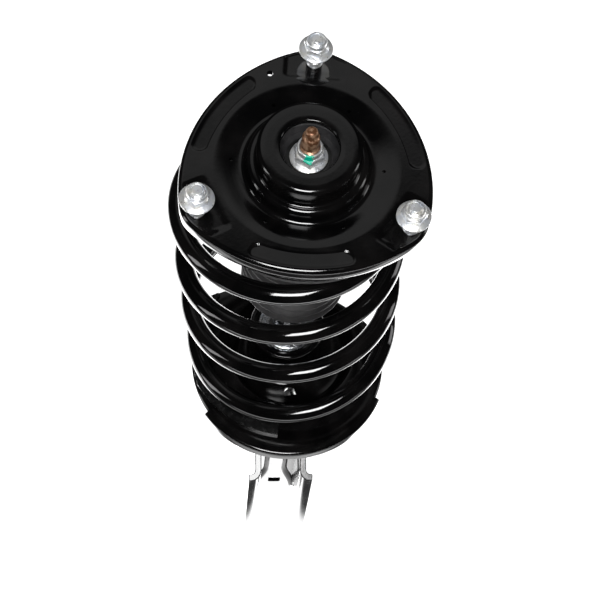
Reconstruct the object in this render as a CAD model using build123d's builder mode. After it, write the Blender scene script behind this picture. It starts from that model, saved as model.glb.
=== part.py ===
"""Strut assembly: top mount, bearing, coil spring, shock absorber and knuckle bracket.

The origin is on the strut's axis at the mount plate's top face. +Z points up along the piston
rod and the knuckle bracket's ears point towards -Y. The strut is drawn at full extension,
which is how its own rebound stop and spring hold it before it is fitted to a car.
All sizes are in millimetres.
"""
import math
import os

from build123d import *

os.makedirs("parts", exist_ok=True)

# ---- named clearances ----------------------------------------------------------------
running_fit = 0.05          # radial gap of a sliding or turning fit
assembly_gap = 0.1          # radial gap of pieces of one body that only slip together
moving_gap = 0.3            # least gap between pieces of two bodies that aren't a fit

# ---- top mount -----------------------------------------------------------------------
stud_count = 3
stud_circle_r = 74.3
stud_clock = 85.0           # angle of the first stud from +X
corner_margin = 9.7         # plate's reach past the middle of each stud
corner_arc_r = 22.0
side_reach = 73.5           # plate's reach at the middle of a side
plate_t = 3.0
plate_rim_depth = 10.0
rim_roll_r = 2.8
pad_inset = 8.2             # middle of a stamped recess, in from the plate's edge
pad_width = 10.0
pad_half_angle = 18.0
pad_depth = 1.2
pip_count = 6
pip_circle_r = 46.7
pip_clock = -5.0
pip_r = 1.3

dome_top_z = 21.4
dome_r = 32.0
dome_hole_r = 17.9
dome_round_r = 2.6
dome_foot_r = 38.0
dome_foot_z = 5.0
moat_r = 50.0
moat_depth = 2.2

pan_t = 2.5
pan_margin = 5.0            # from the pan's edge to the plate's rim, inside
pan_hole_r = 22.0

core_bore_r = 6.1
core_r = 10.0
core_disc_r = 24.0
core_disc_t = 3.0
core_top_z = 6.5
core_bottom_z = -14.0
rubber_top_z = 13.0
rubber_groove = 2.5

# ---- studs and nuts ------------------------------------------------------------------
stud_r = 5.0
stud_knurl_r = 5.3
stud_thread_r = 4.9
stud_head_r = 6.4
stud_head_t = 2.0
stud_shank_top_z = 12.0
stud_thread_top_z = 23.0
stud_tip_r = 3.2
stud_tip_z = 24.6
stud_nut_z = 12.8
stud_nut_flange_r = 10.65
stud_nut_flange_t = 1.8
stud_nut_flats = 14.0
stud_nut_hex_h = 7.2
stud_nut_collar_r = 6.3
stud_nut_h = 10.4

rod_washer_r = 14.0
rod_washer_t = 2.0
rod_nut_flange_r = 11.75
rod_nut_flange_t = 2.0
rod_nut_flats = 17.0
rod_nut_hex_h = 9.0
rod_nut_collar_r = 7.8
rod_nut_h = 13.5

# ---- piston rod, piston and bump stop ------------------------------------------------
rod_r = 11.0
rod_thread_r = 6.0
rod_shoulder_z = -16.0
rod_thread_top_z = 24.0
rod_pilot_r = 5.4
rod_pilot_top_z = 34.0
rod_tip_r = 3.85
rod_top_z = 40.0
rod_chamfer = 0.6
cup_r = 24.0
cup_t = 2.0
bump_stop_r = 23.0
bump_stop_length = 60.0
bump_stop_waist = 4.0
bump_stop_bulges = 3
piston_spigot_r = 6.0
piston_gap = 18.0           # rod between the rebound stop and the piston's top valve discs
piston_length = 20.0
valve_disc_r = 12.0
valve_disc_t = 1.2
band_length = 10.0
band_depth = 1.7
piston_nut_flats = 19.0
piston_nut_h = 9.0
spigot_end = 2.0
rebound_stop_r = 15.2
rebound_stop_length = 8.0
rebound_gap = 2.0

# ---- bearing -------------------------------------------------------------------------
ball_r = 2.5
ball_count = 20
ball_circle_r = 38.0
race_t = 2.5
race_half_width = 8.0
race_gap = 2.6
cage_t = 1.6
cage_half_width = 5.0

# ---- upper spring seat, isolators and boot -------------------------------------------
upper_seat_t = 2.5
upper_seat_edge = 0.8       # seat's edge past the locating ring where they are nearest
upper_seat_hole_r = 26.0
locating_gap = 3.8          # from the locating ring to the inside of the coil
locating_ring_h = 7.0
upper_isolator_t = 3.0
boot_cap_gap = 3.1          # between the tube's cap and the boot's inside
boot_wall = 1.6
boot_rib = 4.3
boot_pitch = 9.2
boot_rib_count = 15
boot_flange_r = 41.0
boot_flange_t = 2.5

# ---- coil spring ---------------------------------------------------------------------
wire_r = 6.6
coil_r = 70.4
spring_top_angle = 110.0    # direction of the wire's top end, from +X
spring_turns = 3.86
spring_top_centre = (-9.8, -1.6)
spring_bottom_centre = (3.6, 2.3)
coil_tilt = 26.0            # how much lower the back of a middle coil lies than its front
# how far the wire's middle has dropped after each number of turns: closed ends, open coils
wire_turn = (0.0, 0.25, 0.56, 1.56, 2.56, 3.56, 3.76, 3.86)
wire_drop = (0.0, 0.2, 6.6, 68.6, 135.6, 212.6, 228.0, 228.6)
points_per_turn = 12

# ---- shock absorber ------------------------------------------------------------------
tube_r = 25.5
tube_wall = 2.0
tube_top_z = -238.0
cap_t = 1.4
cap_length = 15.0
cap_hole_gap = 2.0          # around the rod
seal_t = 3.0
guide_flange_t = 15.0
guide_length = 23.0
cylinder_bore_r = 16.0
cylinder_wall = 1.5
base_valve_spigot = 4.0
base_valve_t = 8.0
base_valve_feet = 4.0
foot_count = 4
base_cap_t = 4.0
suspension_travel = 140.0
end_gap = 3.6               # rod's end to the base valve at full travel

# ---- lower spring seat ---------------------------------------------------------------
seat_t = 3.0
lower_isolator_t = 3.1
seat_rim_depth = 9.0
seat_margin = -0.4          # of the shelf's edge past the coil's middle
back_centre = (-11.7, -51.9)  # of the wide arc that cuts the seat's back away
back_r = 99.2
isolator_inset = 1.5
isolator_from_angle = 146.0
isolator_to_angle = 262.0
guard_centre = (1.3, -16.4)
guard_margin = 0.6          # of the forward edge past the coil's middle
guard_step = 3.0            # how much wider the tyre-side guard is than the rest of the rim
guard_from_angle = -146.0
guard_to_angle = -24.6
well_centre = (4.4, -4.7)
well_r = 46.5
well_floor_r = 41.0
well_depth = 18.0
hub_wall = 3.0
hub_length = 16.0
drain_hole_r = 4.5
drain_hole_gap = 9.5        # from the tube to the middle of a drain hole
drain_hole_count = 3
drain_flat = 1.6

# ---- knuckle bracket -----------------------------------------------------------------
bracket_t = 5.0
bracket_h = 145.0
bracket_overhang = 2.0      # below the tube's end
ear_gap = 30.0
ear_reach = 75.0
ear_corner_r = 14.0
ear_top_drop = 22.0         # how much lower the ears start at their front edge
ear_bottom_rise = 6.0
lip_width = 6.0
lip_t = 5.0
bolt_r = 7.25
bolt_inset = 20.0           # from the ears' front edge
bolt_height = 38.0          # of the lower bolt above the bracket's bottom
bolt_spacing = 70.0
lip_waist_r = 9.0
front_plate_t = 4.0
front_plate_gap = 7.5       # between the tube and the front plate's back face
window_width = 10.0
window_height = 46.0
window_rise = 20.0          # above the bracket's bottom

# ---- places worked out from the sizes above ------------------------------------------
corner_reach = stud_circle_r + corner_margin
corner_centre_r = corner_reach - corner_arc_r
reach_drop = corner_reach - side_reach
side_offset = (2 * reach_drop * corner_centre_r - reach_drop**2) / (corner_centre_r - 2 * reach_drop)
side_arc_r = side_reach + side_offset
side_mids = [stud_clock + 180 + 360 / stud_count * i for i in range(stud_count)]

pan_r = side_reach - plate_t - pan_margin
moat_under_z = -moat_depth - plate_t
pan_bottom_z = moat_under_z - pan_t
race_mid_z = pan_bottom_z - race_t - race_gap / 2
upper_seat_top_z = race_mid_z - race_gap / 2 - race_t
upper_seat_bottom_z = upper_seat_top_z - upper_seat_t

locating_ring_r = coil_r - wire_r - locating_gap
upper_seat_r = locating_ring_r + math.hypot(*spring_top_centre) + upper_seat_edge
top_coil_z = upper_seat_bottom_z - upper_isolator_t - wire_r
wire_z = [top_coil_z - drop for drop in wire_drop]
bottom_coil_z = wire_z[-1]
seat_r = coil_r + seat_margin
guard_side_r = coil_r + guard_margin
seat_top_z = bottom_coil_z - wire_r - moving_gap - lower_isolator_t
cap_r = tube_r + cap_t + assembly_gap
guide_top_z = tube_top_z - seal_t + 1.0
guide_bottom_z = guide_top_z - guide_length
rebound_stop_z = guide_bottom_z - rebound_gap
piston_top_z = rebound_stop_z - rebound_stop_length - piston_gap
piston_bottom_z = piston_top_z - valve_disc_t - piston_length
piston_nut_z = piston_bottom_z - valve_disc_t
rod_bottom_z = piston_nut_z - piston_nut_h - spigot_end
cylinder_bottom_z = rod_bottom_z - suspension_travel - end_gap - base_valve_spigot
tube_bottom_z = cylinder_bottom_z - base_valve_t - base_valve_feet - base_cap_t
bracket_bottom_z = tube_bottom_z - bracket_overhang
bracket_top_z = bracket_bottom_z + bracket_h
bolt_y = bolt_inset - ear_reach
bolt_lower_z = bracket_bottom_z + bolt_height
bolt_upper_z = bolt_lower_z + bolt_spacing


def direction(angle, r):
    """A point in the XY plane at an angle in degrees and a distance from the axis."""
    return r * math.cos(math.radians(angle)), r * math.sin(math.radians(angle))


def turning_axis(centre):
    """The vertical axis through a point of the XY plane."""
    return Axis((centre[0], centre[1], 0), (0, 0, 1))


def profile_plane(centre):
    """A plane through that axis, on which x is the radius and y is the height."""
    return Plane(origin=(centre[0], centre[1], 0), x_dir=(1, 0, 0), z_dir=(0, -1, 0))


def side_arc_centre(angle):
    """Centre of the large arc that makes the plate's side facing that angle."""
    return direction(angle + 180, side_offset)


# ---- mount plate: pressed three-cornered sheet with a domed middle ---------------------
def plate_outline(inset):
    """The plate's three-cornered outline, or the same one a distance inside it."""
    with BuildSketch() as outline:
        for i, mid in enumerate(side_mids):
            with Locations(side_arc_centre(mid)):
                Circle(side_arc_r - inset, mode=Mode.INTERSECT if i else Mode.ADD)
        fillet(outline.vertices(), corner_arc_r - inset)
    return outline.sketch


with BuildPart() as mount_plate:
    with BuildSketch(Plane.XY.offset(-plate_rim_depth)):
        add(plate_outline(0))
    extrude(amount=plate_rim_depth)
    fillet(mount_plate.faces().sort_by(Axis.Z)[-1].edges(), rim_roll_r)
    with BuildSketch(Plane.XY.offset(-plate_rim_depth)):
        add(plate_outline(plate_t))
    extrude(amount=plate_rim_depth - plate_t, mode=Mode.SUBTRACT)
    with BuildSketch(Plane.XY.offset(-plate_rim_depth)):
        Circle(moat_r)
    extrude(amount=plate_rim_depth, mode=Mode.SUBTRACT)
    with BuildSketch(Plane.XZ):
        with BuildLine():
            Polyline(
                (moat_r, 0), (moat_r - 4, -moat_depth), (dome_foot_r + 2.5, -moat_depth),
                (dome_foot_r, dome_foot_z), (dome_r + 1.2, dome_foot_z), (dome_r, dome_foot_z + 1.8),
                (dome_r, dome_top_z), (dome_hole_r, dome_top_z),
                (dome_hole_r, dome_top_z - plate_t), (dome_r - plate_t, dome_top_z - plate_t),
                (dome_r - plate_t, dome_foot_z), (dome_r, dome_foot_z - plate_t),
                (dome_foot_r - 2, dome_foot_z - plate_t), (dome_foot_r + 0.4, moat_under_z),
                (moat_r - 3, moat_under_z), (moat_r, -plate_t), close=True,
            )
        make_face()
    revolve(axis=Axis.Z)
    dome_rim = mount_plate.edges().filter_by(GeomType.CIRCLE).filter_by(
        lambda e: abs(e.center().Z - dome_top_z) < 0.01 and abs(e.radius - dome_r) < 0.01)
    fillet(dome_rim, dome_round_r)
    with BuildSketch(Plane.XY.offset(-plate_rim_depth)):
        with PolarLocations(pip_circle_r, pip_count, pip_clock):
            Circle(pip_r)
        with PolarLocations(stud_circle_r, stud_count, stud_clock):
            Circle(stud_knurl_r)
    extrude(amount=plate_rim_depth, mode=Mode.SUBTRACT)
    with BuildSketch(Plane.XY.offset(-pad_depth)):
        for mid in side_mids:
            with Locations(side_arc_centre(mid)):
                SlotArc(CenterArc((0, 0), side_arc_r - pad_inset, mid - pad_half_angle,
                                  2 * pad_half_angle), pad_width)
    extrude(amount=pad_depth, mode=Mode.SUBTRACT)
mount_plate.part.label = "mount_plate"
export_step(mount_plate.part, "parts/mount_plate.step")

# ---- lower mount pan: closes the dome from below and carries the bearing ---------------
with BuildPart() as mount_pan:
    with BuildSketch(Plane.XZ):
        with BuildLine():
            Polyline(
                (pan_r, -plate_t), (moat_r, -plate_t), (moat_r - 3, moat_under_z),
                (pan_hole_r, moat_under_z), (pan_hole_r, pan_bottom_z),
                (moat_r - 3.5, pan_bottom_z), (moat_r - 0.6, -plate_t - pan_t),
                (pan_r, -plate_t - pan_t), close=True,
            )
        make_face()
    revolve(axis=Axis.Z)
mount_pan.part.label = "mount_pan"
export_step(mount_pan.part, "parts/mount_pan.step")

# ---- insulator: steel core, and the rubber between it and the dome ---------------------
with BuildPart() as insulator_core:
    with BuildSketch(Plane.XY.offset(core_bottom_z)):
        Circle(core_r)
    extrude(amount=core_top_z - core_bottom_z)
    with BuildSketch(Plane.XY):
        Circle(core_disc_r)
    extrude(amount=core_disc_t)
    with BuildSketch(Plane.XY.offset(core_bottom_z)):
        Circle(core_bore_r)
    extrude(amount=core_top_z - core_bottom_z, mode=Mode.SUBTRACT)
insulator_core.part.label = "insulator_core"
export_step(insulator_core.part, "parts/insulator_core.step")

rubber_r = dome_r - plate_t
with BuildPart() as insulator_rubber:
    with BuildSketch(Plane.XZ):
        with BuildLine():
            Polyline(
                (core_r, moat_under_z), (rubber_r - 4, moat_under_z), (rubber_r, 0),
                (rubber_r, rubber_top_z), (rubber_r - 4, rubber_top_z + 2),
                (rod_washer_r + 6, rubber_top_z), (rod_washer_r + 4, rubber_top_z - rubber_groove * 2),
                (rod_washer_r + 1, core_top_z - rubber_groove), (core_r, core_top_z - rubber_groove),
                close=True,
            )
        make_face()
    revolve(axis=Axis.Z)
    with BuildSketch(Plane.XY):
        Circle(core_disc_r)
    extrude(amount=core_disc_t, mode=Mode.SUBTRACT)
insulator_rubber.part.label = "insulator_rubber"
export_step(insulator_rubber.part, "parts/insulator_rubber.step")

# ---- mount studs: knurled in the plate, plain under the nut, dog point on top ----------
with BuildPart() as mount_studs:
    with PolarLocations(stud_circle_r, stud_count, stud_clock):
        for radius, low, high in (
            (stud_head_r, -plate_t - stud_head_t, -plate_t),
            (stud_knurl_r, -plate_t, 0),
            (stud_r, 0, stud_shank_top_z),
            (stud_thread_r, stud_shank_top_z, stud_thread_top_z),
            (stud_tip_r, stud_thread_top_z, stud_tip_z),
        ):
            with Locations((0, 0, low)):
                Cylinder(radius, high - low, align=(Align.CENTER, Align.CENTER, Align.MIN))
mount_studs.part.label = "mount_studs"
export_step(mount_studs.part, "parts/mount_studs.step")

with BuildPart() as stud_nuts:
    with BuildSketch(Plane.XY.offset(stud_nut_z)):
        with PolarLocations(stud_circle_r, stud_count, stud_clock):
            Circle(stud_nut_flange_r)
    extrude(amount=stud_nut_flange_t, taper=20)
    with BuildSketch(Plane.XY.offset(stud_nut_z)):
        with PolarLocations(stud_circle_r, stud_count, stud_clock):
            RegularPolygon(stud_nut_flats / 2, 6, major_radius=False)
    extrude(amount=stud_nut_hex_h)
    with BuildSketch(Plane.XY.offset(stud_nut_z)):
        with PolarLocations(stud_circle_r, stud_count, stud_clock):
            Circle(stud_nut_collar_r)
    extrude(amount=stud_nut_h)
    with BuildSketch(Plane.XY.offset(stud_nut_z)):
        with PolarLocations(stud_circle_r, stud_count, stud_clock):
            Circle(stud_thread_r + running_fit)
    extrude(amount=stud_nut_h, mode=Mode.SUBTRACT)
stud_nuts.part.label = "stud_nuts"
export_step(stud_nuts.part, "parts/stud_nuts.step")

# ---- rod nut and washer over the core, cup under it ------------------------------------
with BuildPart() as rod_washer:
    with BuildSketch(Plane.XY.offset(core_top_z)):
        Circle(rod_washer_r)
        Circle(rod_thread_r + assembly_gap, mode=Mode.SUBTRACT)
    extrude(amount=rod_washer_t)
rod_washer.part.label = "rod_washer"
export_step(rod_washer.part, "parts/rod_washer.step")

rod_nut_z = core_top_z + rod_washer_t
with BuildPart() as rod_nut:
    with BuildSketch(Plane.XY.offset(rod_nut_z)):
        Circle(rod_nut_flange_r)
    extrude(amount=rod_nut_flange_t, taper=15)
    with BuildSketch(Plane.XY.offset(rod_nut_z)):
        RegularPolygon(rod_nut_flats / 2, 6, major_radius=False)
    extrude(amount=rod_nut_hex_h)
    with BuildSketch(Plane.XY.offset(rod_nut_z)):
        Circle(rod_nut_collar_r)
    extrude(amount=rod_nut_h)
    with BuildSketch(Plane.XY.offset(rod_nut_z)):
        Circle(rod_thread_r + running_fit)
    extrude(amount=rod_nut_h, mode=Mode.SUBTRACT)
rod_nut.part.label = "rod_nut"
export_step(rod_nut.part, "parts/rod_nut.step")

with BuildPart() as bump_stop_cup:
    with BuildSketch(Plane.XY.offset(rod_shoulder_z)):
        Circle(cup_r)
        Circle(rod_thread_r + assembly_gap, mode=Mode.SUBTRACT)
    extrude(amount=cup_t)
bump_stop_cup.part.label = "bump_stop_cup"
export_step(bump_stop_cup.part, "parts/bump_stop_cup.step")

# ---- piston rod --------------------------------------------------------------------------
with BuildPart() as piston_rod:
    for radius, low, high in (
        (piston_spigot_r, rod_bottom_z, piston_top_z),
        (rod_r, piston_top_z, rod_shoulder_z),
        (rod_thread_r, rod_shoulder_z, rod_thread_top_z),
        (rod_pilot_r, rod_thread_top_z, rod_pilot_top_z),
        (rod_tip_r, rod_pilot_top_z, rod_top_z),
    ):
        with BuildSketch(Plane.XY.offset(low)):
            Circle(radius)
        extrude(amount=high - low)
    chamfer(piston_rod.faces().sort_by(Axis.Z)[-1].edges(), rod_chamfer)
    chamfer(piston_rod.faces().sort_by(Axis.Z)[0].edges(), rod_chamfer)
piston_rod.part.label = "piston_rod"
export_step(piston_rod.part, "parts/piston_rod.step")

bulge_length = bump_stop_length / bump_stop_bulges
with BuildPart() as bump_stop:
    with BuildSketch(Plane.XZ):
        with BuildLine():
            z = rod_shoulder_z
            Line((rod_r + assembly_gap, z), (bump_stop_r - bump_stop_waist, z))
            for i in range(bump_stop_bulges):
                shrink = 2.0 * i
                ThreePointArc(
                    (bump_stop_r - bump_stop_waist - max(0, shrink - 2.0), z),
                    (bump_stop_r - shrink, z - bulge_length / 2),
                    (bump_stop_r - bump_stop_waist - shrink, z - bulge_length),
                )
                z -= bulge_length
            Line((bump_stop_r - bump_stop_waist - shrink, z), (rod_r + assembly_gap, z))
            Line((rod_r + assembly_gap, z), (rod_r + assembly_gap, rod_shoulder_z))
        make_face()
    revolve(axis=Axis.Z)
bump_stop.part.label = "bump_stop"
export_step(bump_stop.part, "parts/bump_stop.step")

with BuildPart() as rebound_stop:
    with BuildSketch(Plane.XY.offset(rebound_stop_z)):
        Circle(rebound_stop_r)
        Circle(rod_r, mode=Mode.SUBTRACT)
    extrude(amount=-rebound_stop_length)
rebound_stop.part.label = "rebound_stop"
export_step(rebound_stop.part, "parts/rebound_stop.step")

# ---- piston, its band, valve discs and nut -----------------------------------------------
piston_r = cylinder_bore_r - 0.4
band_r = cylinder_bore_r - running_fit
with BuildPart() as piston_valve_discs:
    for top in (piston_top_z, piston_bottom_z):
        with BuildSketch(Plane.XY.offset(top)):
            Circle(valve_disc_r)
            Circle(piston_spigot_r, mode=Mode.SUBTRACT)
        extrude(amount=-valve_disc_t)
piston_valve_discs.part.label = "piston_valve_discs"
export_step(piston_valve_discs.part, "parts/piston_valve_discs.step")

band_top_z = piston_top_z - valve_disc_t - (piston_length - band_length) / 2
with BuildPart() as piston:
    with BuildSketch(Plane.XY.offset(piston_bottom_z)):
        Circle(piston_r)
        Circle(piston_spigot_r, mode=Mode.SUBTRACT)
    extrude(amount=piston_length)
    with BuildSketch(Plane.XY.offset(band_top_z)):
        Circle(piston_r)
        Circle(piston_r - band_depth, mode=Mode.SUBTRACT)
    extrude(amount=-band_length, mode=Mode.SUBTRACT)
piston.part.label = "piston"
export_step(piston.part, "parts/piston.step")

with BuildPart() as piston_band:
    with BuildSketch(Plane.XY.offset(band_top_z)):
        Circle(band_r)
        Circle(piston_r - band_depth, mode=Mode.SUBTRACT)
    extrude(amount=-band_length)
piston_band.part.label = "piston_band"
export_step(piston_band.part, "parts/piston_band.step")

with BuildPart() as piston_nut:
    with BuildSketch(Plane.XY.offset(piston_nut_z)):
        RegularPolygon(piston_nut_flats / 2, 6, major_radius=False)
        Circle(piston_spigot_r + running_fit, mode=Mode.SUBTRACT)
    extrude(amount=-piston_nut_h)
piston_nut.part.label = "piston_nut"
export_step(piston_nut.part, "parts/piston_nut.step")

# ---- thrust bearing: two grooved races, balls and cage ------------------------------------
with BuildPart() as ball_groove:
    with BuildSketch(profile_plane((0, 0))):
        with Locations((ball_circle_r, race_mid_z)):
            Circle(ball_r + running_fit)
    revolve(axis=Axis.Z)

with BuildPart() as bearing_upper_race:
    with BuildSketch(Plane.XY.offset(pan_bottom_z)):
        Circle(ball_circle_r + race_half_width)
        Circle(ball_circle_r - race_half_width, mode=Mode.SUBTRACT)
    extrude(amount=-race_t)
    add(ball_groove.part, mode=Mode.SUBTRACT)
bearing_upper_race.part.label = "bearing_upper_race"
export_step(bearing_upper_race.part, "parts/bearing_upper_race.step")

with BuildPart() as bearing_lower_race:
    with BuildSketch(Plane.XY.offset(upper_seat_top_z)):
        Circle(ball_circle_r + race_half_width)
        Circle(ball_circle_r - race_half_width, mode=Mode.SUBTRACT)
    extrude(amount=race_t)
    add(ball_groove.part, mode=Mode.SUBTRACT)
bearing_lower_race.part.label = "bearing_lower_race"
export_step(bearing_lower_race.part, "parts/bearing_lower_race.step")

with BuildPart() as bearing_cage:
    with BuildSketch(Plane.XY.offset(race_mid_z - cage_t / 2)):
        Circle(ball_circle_r + cage_half_width)
        Circle(ball_circle_r - cage_half_width, mode=Mode.SUBTRACT)
        with PolarLocations(ball_circle_r, ball_count):
            Circle(ball_r + assembly_gap, mode=Mode.SUBTRACT)
    extrude(amount=cage_t)
bearing_cage.part.label = "bearing_cage"
export_step(bearing_cage.part, "parts/bearing_cage.step")

with BuildPart() as bearing_balls:
    with Locations((0, 0, race_mid_z)):
        with PolarLocations(ball_circle_r, ball_count):
            Sphere(ball_r)
bearing_balls.part.label = "bearing_balls"
export_step(bearing_balls.part, "parts/bearing_balls.step")

# ---- upper spring seat, its isolator and the dust boot -------------------------------------
with BuildPart() as upper_spring_seat:
    with BuildSketch(Plane.XY.offset(upper_seat_bottom_z)):
        Circle(upper_seat_r)
    extrude(amount=upper_seat_t)
    with BuildSketch(Plane.XY.offset(upper_seat_bottom_z)):
        with Locations(spring_top_centre):
            Circle(locating_ring_r)
            Circle(locating_ring_r - upper_seat_t, mode=Mode.SUBTRACT)
    extrude(amount=-locating_ring_h)
    with BuildSketch(Plane.XY.offset(upper_seat_bottom_z)):
        Circle(upper_seat_hole_r)
    extrude(amount=upper_seat_t, mode=Mode.SUBTRACT)
upper_spring_seat.part.label = "upper_spring_seat"
export_step(upper_spring_seat.part, "parts/upper_spring_seat.step")

with BuildPart() as upper_spring_isolator:
    with BuildSketch(Plane.XY.offset(upper_seat_bottom_z)):
        with Locations(spring_top_centre):
            Circle(coil_r + wire_r * 0.7)
            Circle(locating_ring_r + assembly_gap, mode=Mode.SUBTRACT)
        Circle(upper_seat_r, mode=Mode.INTERSECT)
    extrude(amount=-upper_isolator_t + assembly_gap)
upper_spring_isolator.part.label = "upper_spring_isolator"
export_step(upper_spring_isolator.part, "parts/upper_spring_isolator.step")

boot_top_z = upper_seat_bottom_z
valley_r = cap_r + boot_cap_gap + boot_wall
boot_r = valley_r + boot_rib
with BuildPart() as dust_boot:
    with BuildSketch(Plane.XZ):
        with BuildLine():
            first_z = boot_top_z - boot_flange_t
            outer = [(boot_flange_r, boot_top_z), (boot_flange_r, first_z), (valley_r, first_z)]
            for i in range(boot_rib_count):
                rib_z = first_z - boot_pitch * (i + 0.5)
                outer += [(boot_r, rib_z), (valley_r, rib_z - boot_pitch / 2)]
            inner = [(r - boot_wall, z) for r, z in outer[2:]]
            Polyline(outer + inner[::-1] + [(valley_r - boot_wall, boot_top_z)], close=True)
        make_face()
    revolve(axis=Axis.Z)
dust_boot.part.label = "dust_boot"
export_step(dust_boot.part, "parts/dust_boot.step")

# ---- coil spring: right-hand wire, closed at both ends, leaning from seat to seat ---------
def wire_point(turn):
    """Middle of the wire a number of turns down from its top end."""
    k = max(i for i, t in enumerate(wire_turn[:-1]) if t <= turn)
    step = (turn - wire_turn[k]) / (wire_turn[k + 1] - wire_turn[k])
    slopes = [(wire_z[i + 1] - wire_z[i]) / (wire_turn[i + 1] - wire_turn[i])
              for i in range(len(wire_z) - 1)]
    start = 0 if k == 0 else 2 * slopes[k - 1] * slopes[k] / (slopes[k - 1] + slopes[k])
    last = k == len(slopes) - 1
    end = 0 if last else 2 * slopes[k] * slopes[k + 1] / (slopes[k] + slopes[k + 1])
    span = wire_turn[k + 1] - wire_turn[k]
    z = ((1 + 2 * step) * (1 - step) ** 2 * wire_z[k] + step * (1 - step) ** 2 * span * start
         + step**2 * (3 - 2 * step) * wire_z[k + 1] + step**2 * (step - 1) * span * end)
    lean = (top_coil_z - z) / (top_coil_z - bottom_coil_z)
    cx = spring_top_centre[0] + lean * (spring_bottom_centre[0] - spring_top_centre[0])
    cy = spring_top_centre[1] + lean * (spring_bottom_centre[1] - spring_top_centre[1])
    x, y = direction(spring_top_angle - 360 * turn, coil_r)
    share = turn / spring_turns
    tilt = coil_tilt * (4 * share * (1 - share)) ** 2 * (1 + y / coil_r) / 2
    return cx + x, cy + y, z - tilt


with BuildPart() as coil_spring:
    with BuildLine() as wire_path:
        steps = round(spring_turns * points_per_turn)
        Spline([wire_point(spring_turns * i / steps) for i in range(steps + 1)])
    with BuildSketch(Plane(origin=wire_path.line @ 0, z_dir=wire_path.line % 0)):
        Circle(wire_r)
    sweep()
coil_spring.part.label = "coil_spring"
export_step(coil_spring.part, "parts/coil_spring.step")

# ---- shock absorber: outer tube, cap, seal, guide, cylinder, base valve and base ----------
with BuildPart() as strut_tube:
    with BuildSketch(Plane.XY.offset(tube_bottom_z)):
        Circle(tube_r)
        Circle(tube_r - tube_wall, mode=Mode.SUBTRACT)
    extrude(amount=tube_top_z - tube_bottom_z)
strut_tube.part.label = "strut_tube"
export_step(strut_tube.part, "parts/strut_tube.step")

with BuildPart() as tube_cap:
    with BuildSketch(Plane.XY.offset(tube_top_z + cap_t - cap_length)):
        Circle(cap_r)
    extrude(amount=cap_length)
    fillet(tube_cap.faces().sort_by(Axis.Z)[-1].edges(), cap_t)
    with BuildSketch(Plane.XY.offset(tube_top_z + cap_t - cap_length)):
        Circle(tube_r)
    extrude(amount=cap_length - cap_t, mode=Mode.SUBTRACT)
    with BuildSketch(Plane.XY.offset(tube_top_z)):
        Circle(rod_r + cap_hole_gap)
    extrude(amount=cap_t, mode=Mode.SUBTRACT)
tube_cap.part.label = "tube_cap"
export_step(tube_cap.part, "parts/tube_cap.step")

bore_r = tube_r - tube_wall
with BuildPart() as rod_seal:
    with BuildSketch(Plane.XY.offset(guide_top_z)):
        Circle(bore_r - assembly_gap)
        Circle(rod_r + running_fit, mode=Mode.SUBTRACT)
    extrude(amount=tube_top_z - guide_top_z - assembly_gap)
rod_seal.part.label = "rod_seal"
export_step(rod_seal.part, "parts/rod_seal.step")

with BuildPart() as rod_guide:
    with BuildSketch(Plane.XY.offset(guide_top_z)):
        Circle(bore_r - assembly_gap)
    extrude(amount=-guide_flange_t)
    with BuildSketch(Plane.XY.offset(guide_top_z)):
        Circle(cylinder_bore_r - running_fit)
    extrude(amount=-guide_length)
    with BuildSketch(Plane.XY.offset(guide_top_z)):
        Circle(rod_r + running_fit)
    extrude(amount=-guide_length, mode=Mode.SUBTRACT)
rod_guide.part.label = "rod_guide"
export_step(rod_guide.part, "parts/rod_guide.step")

with BuildPart() as inner_cylinder:
    with BuildSketch(Plane.XY.offset(cylinder_bottom_z)):
        Circle(cylinder_bore_r + cylinder_wall)
        Circle(cylinder_bore_r, mode=Mode.SUBTRACT)
    extrude(amount=guide_top_z - guide_flange_t - cylinder_bottom_z)
inner_cylinder.part.label = "inner_cylinder"
export_step(inner_cylinder.part, "parts/inner_cylinder.step")

with BuildPart() as base_valve:
    with BuildSketch(Plane.XY.offset(cylinder_bottom_z)):
        Circle(cylinder_bore_r - running_fit)
    extrude(amount=base_valve_spigot)
    with BuildSketch(Plane.XY.offset(cylinder_bottom_z)):
        Circle(cylinder_bore_r + cylinder_wall)
    extrude(amount=-base_valve_t)
    with BuildSketch(Plane.XY.offset(cylinder_bottom_z - base_valve_t)):
        with PolarLocations(cylinder_bore_r - 2, foot_count):
            Rectangle(4, 6)
    extrude(amount=-base_valve_feet)
base_valve.part.label = "base_valve"
export_step(base_valve.part, "parts/base_valve.step")

with BuildPart() as tube_base:
    with BuildSketch(Plane.XY.offset(tube_bottom_z)):
        Circle(bore_r)
    extrude(amount=base_cap_t)
    fillet(tube_base.faces().sort_by(Axis.Z)[0].edges(), base_cap_t / 2)
tube_base.part.label = "tube_base"
export_step(tube_base.part, "parts/tube_base.step")

# ---- lower spring seat: flanged pan with a tyre-side guard and a welded hub ----------------
with BuildSketch() as seat_outline:
    with Locations(spring_bottom_centre):
        Circle(seat_r)
    with Locations(guard_centre):
        Circle(guard_side_r)
    with BuildLine(Plane(origin=(guard_centre[0], guard_centre[1], 0))):
        guard_arc = CenterArc((0, 0), guard_side_r + guard_step, guard_from_angle,
                              guard_to_angle - guard_from_angle)
        Line(guard_arc @ 1, (0, 0))
        Line((0, 0), guard_arc @ 0)
    make_face()
    with Locations(back_centre):
        Circle(back_r, mode=Mode.INTERSECT)

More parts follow.
